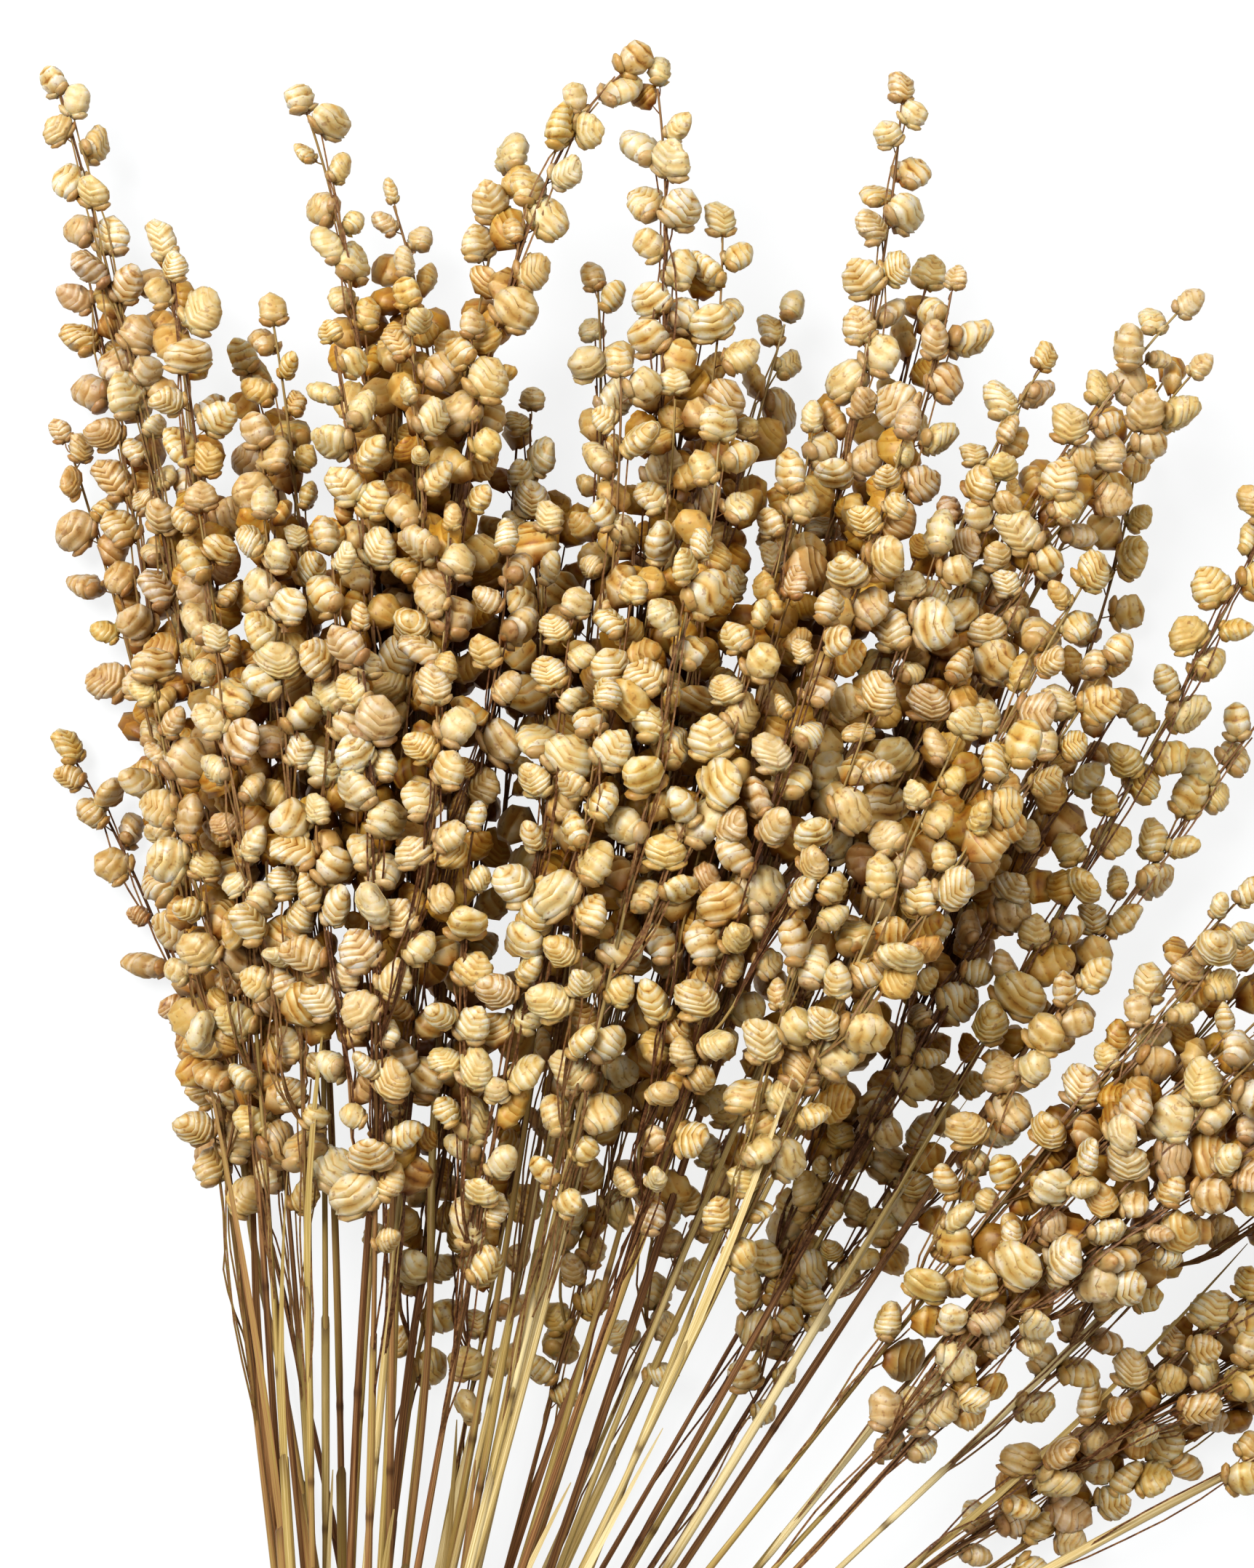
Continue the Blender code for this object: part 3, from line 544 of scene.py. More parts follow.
# The dry blades at the sheaths' ends: length, half width, and bow and lift in shares of the length. The
# twist is in radians
BLADE_SHARE = 0.45
BLADE_REACH = (30.0 * MM, 85.0 * MM)
BLADE_WIDE = (0.55 * MM, 1.05 * MM)
BLADE_FLAT = 0.125
BLADE_BOW = 0.09
BLADE_BOW_RANGE = (0.2, 1.0)
BLADE_BOW_CURVE = 1.8
BLADE_LIFT = 0.05
BLADE_LIFT_RANGE = (-0.3, 1.0)
BLADE_FLOOR = 1.2 * MM
BLADE_TURN = (-0.6, 0.6)
BLADE_TWIST = (-1.6, 1.6)
BLADE_TAPER = 0.97
BLADE_TAPER_CURVE = 1.5
BLADE_ROOT = ((0.0, 0.15), (0.7, 1.0))

# What keeps the pole of a fine stalk off its chord
ASKEW = np.array([0.3, 0.1, 0.2])

# Stalks of spikelets: where they meet the spikelet, in its lengths from its middle, and how they bend
STALKLET_END = 0.46
STALKLET_BEND = 0.25
STALKLET_SCATTER = 0.25 * MM
STALKLET_FLOOR = 0.4 * MM

# The long ones: how many, how far down they part, how far off the strand they run and where they turn
LONG_SHARE = 0.50
LONG_REACH = (14.0 * MM, 60.0 * MM)
LONG_ASIDE = 2.2 * MM
LONG_LIFT = 2.8 * MM
LIFT_RANGE = (0.2, 1.0)
LONG_FULL = 30.0 * MM
LONG_ARCH_END = 0.92
LONG_ARCH_CURVE = 1.5
LONG_TURN = 0.6
LONG_SCATTER = 0.10 * MM

# How tone and darkness run along the stalks. The grain repeats more slowly along a stalk than across it
GRAIN_RUN = 12.0
GRAIN_SHIFT = 50
STALKLET_GRAIN = 300.0
CULM_TONE = (0.05, 0.90)
SIDE_TONE = (0.2, 0.6)
STALKLET_TONE = (0.0, 0.5)
CULM_DARK = 0.04
NECK_DARK = 0.34
NECK_DARK_BELOW = 20 * MM
NECK_DARK_OVER = 60 * MM
JOINT_DARK = 0.6
SIDE_DARK = 0.32
STALKLET_DARK = 0.45
SHEATH_DARK = ((0.0, 0.04, 0.12, 0.9, 1.0), (0.75, 0.45, 0.0, 0.05, 0.55))
SHEATH_END_DARK = (0.7, 0.9)
BLADE_DARK = 0.25
BLADE_END_DARK = (0.2, 0.3)

# Twine of three plies: pitch, offset and radius of a ply in radii of the twine. A pole is the direction
# that a line's sections are squared to
PLIES = 3
PLY_PITCH = 5.2
PLY_OFFSET = 0.50
PLY_RADIUS = 0.56
PLY_END = 0.3
PLY_TONE = (0.3, 0.7)
PLY_DARK = 0.2
TWINE_SMOOTHINGS = 4
WINDING_POLE = np.array([0.0, 1.0, 0.0])
HITCH_POLE = np.array([1.0, 0.0, 0.1])
END_POLE = np.array([0.3, -0.2, 1.0])

# Forms of the spikelets, in shares of their length: number of bands, width, thickness, where they are
# fullest, how blunt and how pointed the tip is, how far a ring climbs to the edges and droops at the base,
# relief of the bands, depth of the valley, how smooth the edges are, ripple, tilt, bend and nod.
FORM_FIELDS = (
    "bands", "width", "thick", "full", "blunt", "point", "climb", "droop",
    "relief", "valley", "smooth", "ripple", "tilt", "bend", "nod",
)
FORMS = [dict(zip(FORM_FIELDS, row)) for row in (
    (5, 0.96, 0.66, 0.30, 1.7, 0.80, 0.26, 0.10, 0.055, 0.22, 0.51, 0.025, 0.00, 0.10, 0.05),
    (4, 1.04, 0.70, 0.32, 1.8, 0.75, 0.20, 0.14, 0.064, 0.30, 0.58, 0.030, 0.06, -0.12, -0.10),
    (6, 0.86, 0.66, 0.30, 1.6, 0.80, 0.28, 0.08, 0.055, 0.18, 0.44, 0.022, -0.05, 0.16, 0.12),
    (6, 1.00, 0.60, 0.26, 1.5, 0.85, 0.26, 0.12, 0.055, 0.22, 0.51, 0.022, 0.07, -0.06, 0.00),
    (4, 0.82, 0.70, 0.34, 2.0, 0.70, 0.17, 0.08, 0.043, 0.14, 0.58, 0.033, 0.08, 0.08, -0.14),
    (5, 0.70, 0.62, 0.34, 1.8, 0.72, 0.20, 0.06, 0.038, 0.10, 0.51, 0.027, -0.07, -0.20, 0.12),
    (7, 0.92, 0.74, 0.30, 1.7, 0.75, 0.24, 0.10, 0.047, 0.22, 0.47, 0.022, -0.10, 0.06, 0.16),
    (3, 0.94, 0.72, 0.36, 2.0, 0.70, 0.17, 0.10, 0.051, 0.26, 0.58, 0.040, 0.10, 0.10, -0.06),
)]
FORM_SEED = 3
FORM_SEED_STEP = 10

# How fine a spikelet is drawn: those in sight, those half hidden and those inside
GRADES = (
    {"columns": 12, "rows": (0.0, 0.22, 0.84), "fewer": 0, "lobes": True},
    {"columns": 9, "rows": (0.0, 0.84), "fewer": 0, "lobes": False},
    {"columns": 7, "rows": (0.0, 0.70), "fewer": 1, "lobes": False},
)

# The outline of every form: how far the base is drawn in, and how fast it fills, in width and in thickness;
# the tip is blunter and softer in thickness
BASE_PINCH = 0.66
WIDTH_FILLS = 2.4
THICKNESS_FILLS = 2.2
TIP_BLUNTER = 0.3
TIP_SOFTER = 0.85

# Within a band, from groove to lip: the swell of the radius, and the place on the colour ramps
BAND_STOPS = (0.0, 0.22, 0.50, 0.84, 1.0)
BAND_SWELL = (-1.0, 0.25, 0.85, 0.85, 0.0)
BAND_COLOUR = (0.20, 0.58, 0.70, 0.96, 0.5)
MIDDLE_COLOUR = 0.30
TIP_COLOUR = 0.8

# How relief, valley and size vary
SMOOTH_CURVE = 2.5
RELIEF_FALL = 0.6
RELIEF_SCATTER = 0.35
VALLEY_WIDTH = 0.32
VALLEY_SHARES = (0.40, 0.60)
SIZE_WAVER = 0.04
MOST_UNEVEN = 1.2

# How the rings climb, in shares of a spikelet's length, or of a band where they are divided by the bands
FOOT_HEIGHT = 0.07
RING_RUN = 0.92
RING_SCATTER = 0.16
INSIDE_CURVE = 0.6
CLIMB_CURVE = 0.9
CLIMB_FALL = 0.8
CLIMB_FALL_CURVE = 1.5
DROOP_CURVE = 1.2
STAGGER = 0.46
STAGGER_SHARP = 2.5
TILT_TURN = 0.6
WAVER = 0.18
WAVER_TURN = 2.5
BEND_FROM = 0.4
TIP_REACH = 0.03
# How fast the brown of the base, partly its own colour and partly painted shade, fades up the spikelet
BASE_BROWN_AND_SHADE_FALL = 2.2

# The two lobes at the base: shares of the spikelet's length, width or thickness
LOBE_ROWS = np.array([0.13, 0.38, 0.66, 0.89]) * math.pi
LOBE_COLUMNS = 6
LOBE_REACH = 0.27
LOBE_SCATTER = (0.9, 1.15)
LOBE_ASIDE = 0.25
LOBE_THICK = 0.38
LOBE_TALL = 0.14
LOBE_RISE = 0.13
LOBE_SHIFT = (-0.03, 0.01)
LOBE_LOW = 0.385
LOBE_COLOUR = 0.5
# Brown of the lobes: partly their own colour, partly painted shade
LOBE_BASE_BROWN_AND_SHADE = 0.6

# When a spikelet counts as lying over another: near in plan, and higher by a step
COVER_WITHIN = 4.2 * MM
COVER_STEP = 1.5 * MM
HALF_HIDDEN_BY = 1
HIDDEN_BY = 3

# Spikelets as placed: none larger than this, then all drawn a little fuller, since their tips are fine
LARGEST = 7.1 * MM
FULLER = 1.06
STRETCH_SCATTER = 0.09
LOWEST_POINT = 0.15 * MM
GRAIN_BY_TONE = 7.0
GRAIN_CYCLE = 13

# Tone from ochre to cream, and brownness, by stem and then by spikelet: lower stems are painted darker as
# shade and higher ones paler, and those on the far left are browner
STEM_TONE = 0.52
STEM_SCATTER = 0.16
SPIKELET_SCATTER = 0.20
SHADE_BY_HEIGHT = 0.006
MEAN_HEIGHT = 25.0
LEFT_BROWN = 0.4
LEFT_FROM = -25.0
LEFT_OVER = 20.0
# Painted shade on spikelets that lie under others: full shade under this many of them, and its scatter
BURIED_SHADE_FULL = 5.0
BURIED_SHADE_SCATTER = 0.05
# How much each spikelet takes of the brown at its base, which is partly painted shade
BASE_BROWN_AND_SHADE_RANGE = (0.35, 1.0)

# How far the colour bands of the plainest spikelets fade, and the value that they fade to
PLAIN = 0.8
BACK = 0.62

# Colours of the scales from the groove to the lip: a tone's two ends, and a browner one
CREAM = (
    (0.0, (0.66, 0.47, 0.21)), (0.25, (0.78, 0.65, 0.40)),
    (0.60, (0.81, 0.75, 0.59)), (0.95, (0.83, 0.82, 0.79)),
)
OCHRE = (
    (0.0, (0.55, 0.38, 0.13)), (0.25, (0.73, 0.57, 0.27)),
    (0.60, (0.79, 0.69, 0.43)), (0.95, (0.82, 0.79, 0.69)),
)
UMBER = (
    (0.0, (0.41, 0.25, 0.12)), (0.25, (0.59, 0.42, 0.26)),
    (0.60, (0.70, 0.56, 0.41)), (0.95, (0.81, 0.74, 0.67)),
)
# Brown at the base of a spikelet and on its lobes: partly their own colour, partly painted shade
BASE_BROWN_AND_SHADE = (0.50, 0.29, 0.11)
BASE_BROWN_AND_SHADE_SHARE = 0.8
# Small brown spots: painted shade of the pits between the scales, placed by noise
PIT_SHADE_BROWN = (0.50, 0.28, 0.10)
PIT_SHADE_SHARE = 0.45
PIT_SHADE_STOPS = ((0.0, (1, 1, 1)), (0.30, (1, 1, 1)), (0.40, (0, 0, 0)))
# Painted shade: the colour that multiplies a spikelet, darker and browner the more spikelets lie over it
BURIED_SHADE_STOPS = ((0.0, (1.0, 1.0, 1.0)), (0.35, (0.94, 0.83, 0.53)), (1.0, (0.60, 0.44, 0.18)))
PAPER_GLOW = 0.40
PAPER_GLOW_COLOURS = (1.0, 0.55, 0.22)
PAPER_GLOW_DEPTH = 1.8 * MM

# Colours of the straw, from purplish brown over olive to pale, and of the twine
STRAW = (
    (0.0, (0.38, 0.25, 0.15)), (0.2, (0.58, 0.43, 0.29)), (0.38, (0.69, 0.55, 0.38)),
    (0.55, (0.67, 0.59, 0.35)), (0.75, (0.79, 0.70, 0.49)), (1.0, (0.90, 0.84, 0.67)),
)
STRAW_DARK = (0.30, 0.18, 0.10)
JUTE = ((0.25, (0.42, 0.31, 0.18)), (0.5, (0.62, 0.49, 0.31)), (0.75, (0.76, 0.65, 0.46)))

# The stage
FLOOR_HALF = 3.0
FLOOR_GREY = (0.39, 0.392, 0.395)
FLOOR_GLOW_COLOUR = (0.995, 0.998, 1.0)
FLOOR_GLOW = 0.60
LIGHTS = (
    ("key", (-0.55, 0.75, 1.15), 0.70, 16.6),
    ("fill", (0.85, 0.55, 1.10), 0.90, 3.8),
)
LIGHTS_AIM = (0.04, 0.20, 0.0)
WORLD_COLOUR = (1.0, 0.97, 0.92, 1.0)
WORLD_STRENGTH = 0.345
CAMERA_PLACE = (0.0418, 0.2103, 0.646)
CAMERA_LENS = 85.0
CAMERA_SENSOR = 36.0


def frames(line, pole):
    """Tangent, side and lift of a line at each point: the side is square to the tangent and to the pole."""
    tangent = unit(np.gradient(line, axis=0))
    side = unit(np.cross(tangent, pole))
    return tangent, side, np.cross(side, tangent)


def smooth(line, rounds):
    """The line with each inner point drawn towards its neighbours, some rounds over; its ends stay."""
    line = line.copy()
    for _ in range(rounds):
        line[1:-1] = 0.25 * line[:-2] + 0.5 * line[1:-1] + 0.25 * line[2:]
    return line


def sweep(line, radii, ring, pole=UP, flat=1.0):
    """A tube: circles of the given radii round the line, squeezed along the lift by the flatness."""
    _, side, lift = frames(line, pole)
    turn = round_angles(ring)[None, :, None]
    radii = np.asarray(radii)[:, None, None]
    round_it = np.cos(turn) * side[:, None] - flat * np.sin(turn) * lift[:, None]
    return line[:, None] + radii * round_it


def closed_grid(grid):
    """Points and faces of a tube given as rings: four-sided faces between rings, and a fan at each end."""
    rings, ring = grid.shape[:2]
    i, j = np.meshgrid(np.arange(rings - 1), np.arange(ring), indexing="ij")
    after = (j + 1) % ring
    fours = np.stack([i * ring + j, i * ring + after, (i + 1) * ring + after, (i + 1) * ring + j], axis=-1)
    j = np.arange(ring)
    after = (j + 1) % ring
    low, high = rings * ring, rings * ring + 1
    last = (rings - 1) * ring
    threes = np.concatenate([
        np.stack([after, j, np.full(ring, low)], axis=1),
        np.stack([last + j, last + after, np.full(ring, high)], axis=1),
    ])
    points = np.concatenate([grid.reshape(-1, 3), [grid[0].mean(axis=0), grid[-1].mean(axis=0)]])
    return points, fours.reshape(-1, 4), threes


def with_ends(values, first, last, ring):
    """A value for each ring of a tube, spread to its points, with those of its two ends."""
    return np.concatenate([np.repeat(values, ring), [first, last]])


class Batch:
    """Closed surfaces gathered into one mesh, with values at their points."""

    def __init__(self):
        self.points, self.fours, self.threes, self.values = [], [], [], {}
        self.count = 0

    def add(self, points, fours, threes, **values):
        """Takes in one surface, or several alike: points may have a first axis of copies."""
        copies = points if points.ndim == 3 else points[None]
        size = copies.shape[1]
        offsets = self.count + size * np.arange(len(copies))
        self.points.append(copies.reshape(-1, 3))
        self.fours.append((fours[None] + offsets[:, None, None]).reshape(-1, 4))
        self.threes.append((threes[None] + offsets[:, None, None]).reshape(-1, 3))
        for name, value in values.items():
            value = np.asarray(value, float)
            if name == "grain":
                value = np.broadcast_to(value, copies.shape).reshape(-1, 3)
            else:
                value = np.broadcast_to(value, copies.shape[:2]).ravel()
            self.values.setdefault(name, []).append(value)
        self.count += size * len(copies)

    def mesh(self, name, crease=None):
        """The mesh, smooth but for edges sharper than the crease."""
        mesh = bpy.data.meshes.new(name)
        points = np.concatenate(self.points)
        fours, threes = np.concatenate(self.fours), np.concatenate(self.threes)
        corners = np.concatenate([fours.ravel(), threes.ravel()])
        totals = np.concatenate([np.full(len(fours), 4), np.full(len(threes), 3)])
        mesh.vertices.add(len(points))
        mesh.vertices.foreach_set("co", points.astype(np.float32).ravel())
        mesh.loops.add(len(corners))
        mesh.loops.foreach_set("vertex_index", corners.astype(np.int32))
        mesh.polygons.add(len(totals))
        mesh.polygons.foreach_set("loop_start", (np.cumsum(totals) - totals).astype(np.int32))
        mesh.update(calc_edges=True)
        mesh.shade_smooth()
        if crease:
            mesh.set_sharp_from_angle(angle=math.radians(crease))
        for key, rows in self.values.items():
            values = np.concatenate(rows).astype(np.float32)
            kind, field = ("FLOAT_VECTOR", "vector") if key == "grain" else ("FLOAT", "value")
            mesh.attributes.new(key, kind, "POINT").data.foreach_set(field, values.ravel())
        return mesh


def base_lobe(form, way, draw):
    """A lobe of the two that cup a spikelet's base: an ellipsoid, its outer end bent up by a parabola."""
    rows = LOBE_ROWS[:, None]
    turn = round_angles(LOBE_COLUMNS)[None, :]
    reach = LOBE_REACH * form["width"] * draw.uniform(*LOBE_SCATTER)
    out = -np.cos(rows) * np.ones_like(turn)
    y = LOBE_THICK * form["thick"] * np.sin(rows) * np.cos(way * turn)
    z = LOBE_TALL * np.sin(rows) * np.sin(way * turn)
    x = way * (LOBE_ASIDE * form["width"] + reach * out)
    rise = LOBE_RISE * (0.5 + 0.5 * out) ** 2 + draw.uniform(*LOBE_SHIFT)
    return closed_grid(np.stack([x, y, z + rise - LOBE_LOW], axis=2))


def spikelet_form(form, grade, seed):
    """One plump spikelet of unit length, tip up, as one closed body of overlapping bands.

    Rings follow the edges of the scales. The half width rises from a rounded base to its fullest a third of
    the way up and falls to the tip as a superellipse, steeper in the more pointed forms. Within a band the
    radius swells from the groove to the lip and drops back at the next groove, most on the broad faces.

    A ring climbs from the middle of the broad faces to the edges by a power of the cosine, as the veins of
    a leaf do, wavers as a sine of two turns, and stands part of a band higher on one side; no ring dips
    below the last. Low down, the edges droop. The middle of each broad face is drawn in along a narrow
    valley, a bell curve across and deepest at the base, which leaves two lobes.
    """
    draw = np.random.RandomState(seed)
    bands, share, columns = form["bands"] - grade["fewer"], np.array(grade["rows"]), grade["columns"]
    band = np.repeat(np.arange(bands), len(share))
    share = np.tile(share, bands)
    up = ((band + share) / bands)[:, None]
    turn = round_angles(columns)[None, :]
    edge = np.abs(np.cos(turn))
    uneven = np.clip(draw.normal(size=(4, bands)), -MOST_UNEVEN, MOST_UNEVEN)[:, band][:, :, None]
    ripple = draw.normal(size=(2, bands, columns))[:, band]

    inside = np.sin(math.pi * np.clip(up, 0.0, 1.0)) ** INSIDE_CURVE
    low = 1.0 - np.clip(up / form["full"], 0.0, 1.0)
    high = np.clip((up - form["full"]) / (1.0 - form["full"]), 0.0, 1.0)
    outline = (1.0 - BASE_PINCH * low**WIDTH_FILLS) * (1.0 - high ** form["blunt"]) ** form["point"]
    softer = (1.0 - high ** (form["blunt"] + TIP_BLUNTER)) ** (TIP_SOFTER * form["point"])
    fullness = (1.0 - BASE_PINCH * low**THICKNESS_FILLS) * softer
    wave = np.interp(share, BAND_STOPS, BAND_SWELL)[:, None]
    crossing = (1.0 - form["smooth"] * edge**SMOOTH_CURVE) * (2.0 - edge)
    relief = form["relief"] * (1.0 - RELIEF_FALL * up) * (1.0 + RELIEF_SCATTER * uneven[0]) * crossing
    middle = np.exp(-((np.cos(turn) / VALLEY_WIDTH) ** 2)) * np.ones_like(up)
    drawn_in = form["valley"] * middle * (VALLEY_SHARES[0] + VALLEY_SHARES[1] * (1.0 - up) ** 2)
    radius = (1.0 + relief * wave) * (1.0 - drawn_in) * (1.0 + form["ripple"] * ripple[0])
    half_wide = 0.5 * form["width"] * outline * (1.0 + SIZE_WAVER * uneven[1])
    half_thick = 0.5 * form["thick"] * fullness * (1.0 + SIZE_WAVER * uneven[2])
    x = half_wide * radius * np.cos(turn)
    y = half_thick * radius * np.sin(turn)

    height = FOOT_HEIGHT + RING_RUN * (up + RING_SCATTER / bands * uneven[0] * inside)
    height = height + form["climb"] * edge**CLIMB_CURVE * inside * (1.0 - CLIMB_FALL * up**CLIMB_FALL_CURVE)
    height = height - form["droop"] * edge**DROOP_CURVE * (1.0 - up) ** 4
    height = height + STAGGER / bands * inside * np.clip(STAGGER_SHARP * np.cos(turn), -1.0, 1.0) * 0.5
    height = height + form["tilt"] * np.sin(turn - TILT_TURN) * inside
    height = height + WAVER / bands * np.sin(2.0 * turn + WAVER_TURN * uneven[3]) * inside
    height = height + form["ripple"] * 0.5 * ripple[1] * inside
    height = np.maximum.accumulate(height, axis=0)
    x = x + form["bend"] * (height - BEND_FROM) ** 2
    y = y + form["nod"] * (height - BEND_FROM) ** 2
    points, fours, threes = closed_grid(np.stack([x, y, height - 0.5], axis=2))
    points[-1] += TIP_REACH * UP
    lip = np.interp(share, BAND_STOPS, BAND_COLOUR)[:, None]
    scale = np.concatenate([(lip - MIDDLE_COLOUR * middle).ravel(), [0.0, TIP_COLOUR]])
    # Brown at the base, partly its own colour and partly painted shade: full at the foot, gone about half a
    # band up
    hollow = with_ends(np.clip(1.0 - BASE_BROWN_AND_SHADE_FALL * (band + share), 0.0, 1.0), 1.0, 0.0, columns)
    pieces = [(points, fours, threes, scale, hollow)]
    for way in (-1.0, 1.0) if grade["lobes"] else ():
        lobe, sides, ends = base_lobe(form, way, draw)
        size = len(lobe)
        pieces.append((lobe, sides, ends, np.full(size, LOBE_COLOUR), np.full(size, LOBE_BASE_BROWN_AND_SHADE)))
    starts = np.cumsum([0] + [len(piece[0]) for piece in pieces[:-1]])
    points, fours, threes, scale, hollow = zip(*pieces)
    return (
        np.concatenate(points),
        np.concatenate([rows + start for rows, start in zip(fours, starts)]),
        np.concatenate([rows + start for rows, start in zip(threes, starts)]),
        np.concatenate(scale),
        np.concatenate(hollow),
    )


def crowding(centre):
    """How many spikelets lie over each one in plan."""
    near = np.linalg.norm(centre[:, None, :2] - centre[None, :, :2], axis=2) < COVER_WITHIN
    higher = centre[None, :, 2] - centre[:, None, 2]
    return np.sum(near & (higher > COVER_STEP), axis=1)


def spikelet_batches(grown):
    """The spikelets of every stem. Those with nothing over them are drawn finest, those inside coarsest."""
    draw = np.random.RandomState(SPIKELET_SEED)
    count = len(grown["size"])
    over = crowding(grown["centre"])
    grade = np.where(over < HALF_HIDDEN_BY, 0, np.where(over < HIDDEN_BY, 1, 2))
    form = draw.randint(0, len(FORMS), count)
    stems = np.array([row[:3] for row in PANICLES], float)
    left = np.clip((LEFT_FROM - stems[:, 0]) / LEFT_OVER, 0.0, 1.0)
    # Painted shade by height: stems lying lower are drawn darker, higher ones paler
    higher = SHADE_BY_HEIGHT * (stems[:, 2] - MEAN_HEIGHT)
    stem_tone = STEM_TONE + STEM_SCATTER * draw.normal(size=len(stems)) + higher
    stem_brown = STEM_SCATTER * draw.normal(size=len(stems)) + LEFT_BROWN * left
    tone = np.clip(stem_tone[grown["stem"]] + SPIKELET_SCATTER * draw.normal(size=count), 0.0, 1.0)
    brown = np.clip(stem_brown[grown["stem"]] + SPIKELET_SCATTER * draw.normal(size=count), 0.0, 1.0)
    # Painted shade: the more spikelets lie over one, the darker and browner it is drawn
    deep = np.clip(over / BURIED_SHADE_FULL + BURIED_SHADE_SCATTER * draw.normal(size=count), 0.0, 1.0)
    stretch = draw.normal(1.0, STRETCH_SCATTER, (count, 3))
    # How much of the base's brown, partly painted shade, each spikelet takes
    paler = draw.uniform(*BASE_BROWN_AND_SHADE_RANGE, count)
    plain = draw.uniform(0.0, PLAIN, count)[:, None]
    batches = [Batch() for _ in PANICLES]
    along, wide = unit(grown["along"]), unit(grown["wide"])
    thick = np.cross(along, wide)
    axes = np.stack([wide, thick, along], axis=1) * (FULLER * grown["size"][:, None] * stretch)[:, :, None]
    for g, fineness in enumerate(GRADES):
        for f, shape in enumerate(FORMS):
            seed = FORM_SEED_STEP * f + FORM_SEED
            points, fours, threes, scale, hollow = spikelet_form(shape, fineness, seed)
            for stem, batch in enumerate(batches):
                mine = np.nonzero((grade == g) & (form == f) & (grown["stem"] == stem))[0]
                if len(mine) == 0:
                    continue
                placed = grown["centre"][mine, None] + np.einsum("vi,nij->nvj", points, axes[mine])
                placed[:, :, 2] = np.maximum(placed[:, :, 2], LOWEST_POINT)
                own_tone, own_number = tone[mine, None], mine[:, None, None]
                grain = points[None] + GRAIN_BY_TONE * own_tone[:, :, None] + own_number % GRAIN_CYCLE
                banded = scale * (1.0 - plain[mine]) + BACK * plain[mine]
                batch.add(
                    placed, fours, threes, grain=grain, scale=banded, hollow=hollow * paler[mine, None],
                    tone=own_tone, brown=brown[mine, None], deep=deep[mine, None],
                )
    return batches


def tubes_along(lines, radii, ring):
    """Many thin tubes of as many points each: circles round every line, and the faces of one of them."""
    tangent = unit(np.gradient(lines, axis=1))
    chord = unit(lines[:, -1] - lines[:, 0])
    pole = unit(np.cross(chord, np.roll(chord, 1, axis=1) + ASKEW))
    side = unit(np.cross(tangent, pole[:, None]))
    lift = np.cross(side, tangent)
    turn = round_angles(ring)[:, None]
    round_it = np.cos(turn) * side[:, :, None] - np.sin(turn) * lift[:, :, None]
    grids = lines[:, :, None] + radii[None, :, None, None] * round_it
    _, fours, threes = closed_grid(grids[0])
    ends = np.stack([grids[:, 0].mean(axis=1), grids[:, -1].mean(axis=1)], axis=1)
    return np.concatenate([grids.reshape(len(lines), -1, 3), ends], axis=1), fours, threes


def short_stalks(grown, strands, chosen, draw):
    """Stalks as parabolas from the strand to the spikelets' bases, which they enter along the spikelet."""
    along = unit(grown["along"][chosen])
    start = grown["root"][chosen]
    stop = grown["centre"][chosen] - STALKLET_END * grown["size"][chosen, None] * along
    apart = np.linalg.norm(stop - start, axis=1, keepdims=True)
    bend = 0.5 * (start + stop) - STALKLET_BEND * apart * along
    bend += draw.normal(0.0, STALKLET_SCATTER, bend.shape)
    t = np.linspace(0.0, 1.0, STALKLET_STEPS)[None, :, None]
    return (1 - t) ** 2 * start[:, None] + 2 * t * (1 - t) * bend[:, None] + t**2 * stop[:, None]


def long_stalks(grown, strands, chosen, draw):
    """Stalks that part from the strand far below and run along it.

    Each follows the strand, lifted off it and put aside by a half sine, and turns to its spikelet by a
    smooth step at the end.
    """
    along = unit(grown["along"][chosen])
    stops = grown["centre"][chosen] - STALKLET_END * grown["size"][chosen, None] * along
    t = np.linspace(0.0, 1.0, LONG_STEPS)
    arch = np.sin(math.pi * np.minimum(t / LONG_ARCH_END, 1.0)) ** LONG_ARCH_CURVE
    turned = np.clip((t - LONG_TURN) / (1.0 - LONG_TURN), 0.0, 1.0)
    turned = turned**2 * (3.0 - 2.0 * turned)
    lines = np.empty((len(chosen), LONG_STEPS, 3))
    for row, (i, stop) in enumerate(zip(chosen, stops)):
        line = strands[grown["strand"][i]][1]
        near = np.argmin(np.linalg.norm(line - grown["root"][i], axis=1))
        back = min(near, int(draw.uniform(*LONG_REACH) / AXIS_STEP))
        run = read_at(near - back + t * back, np.arange(len(line)), line)
        ahead = unit(line[near] - line[near - back] + TINY)
        across = unit(np.array([ahead[1], -ahead[0], TINY]))
        aside = draw.uniform(-1.0, 1.0) * LONG_ASIDE * across
        aside = aside + draw.uniform(*LIFT_RANGE) * LONG_LIFT * UP
        aside *= min(back * AXIS_STEP / LONG_FULL, 1.0)
        lines[row] = run + arch[:, None] * aside + turned[:, None] * (stop - grown["root"][i])
        lines[row, 1:-1] += draw.normal(0.0, LONG_SCATTER, (LONG_STEPS - 2, 3))
    return lines


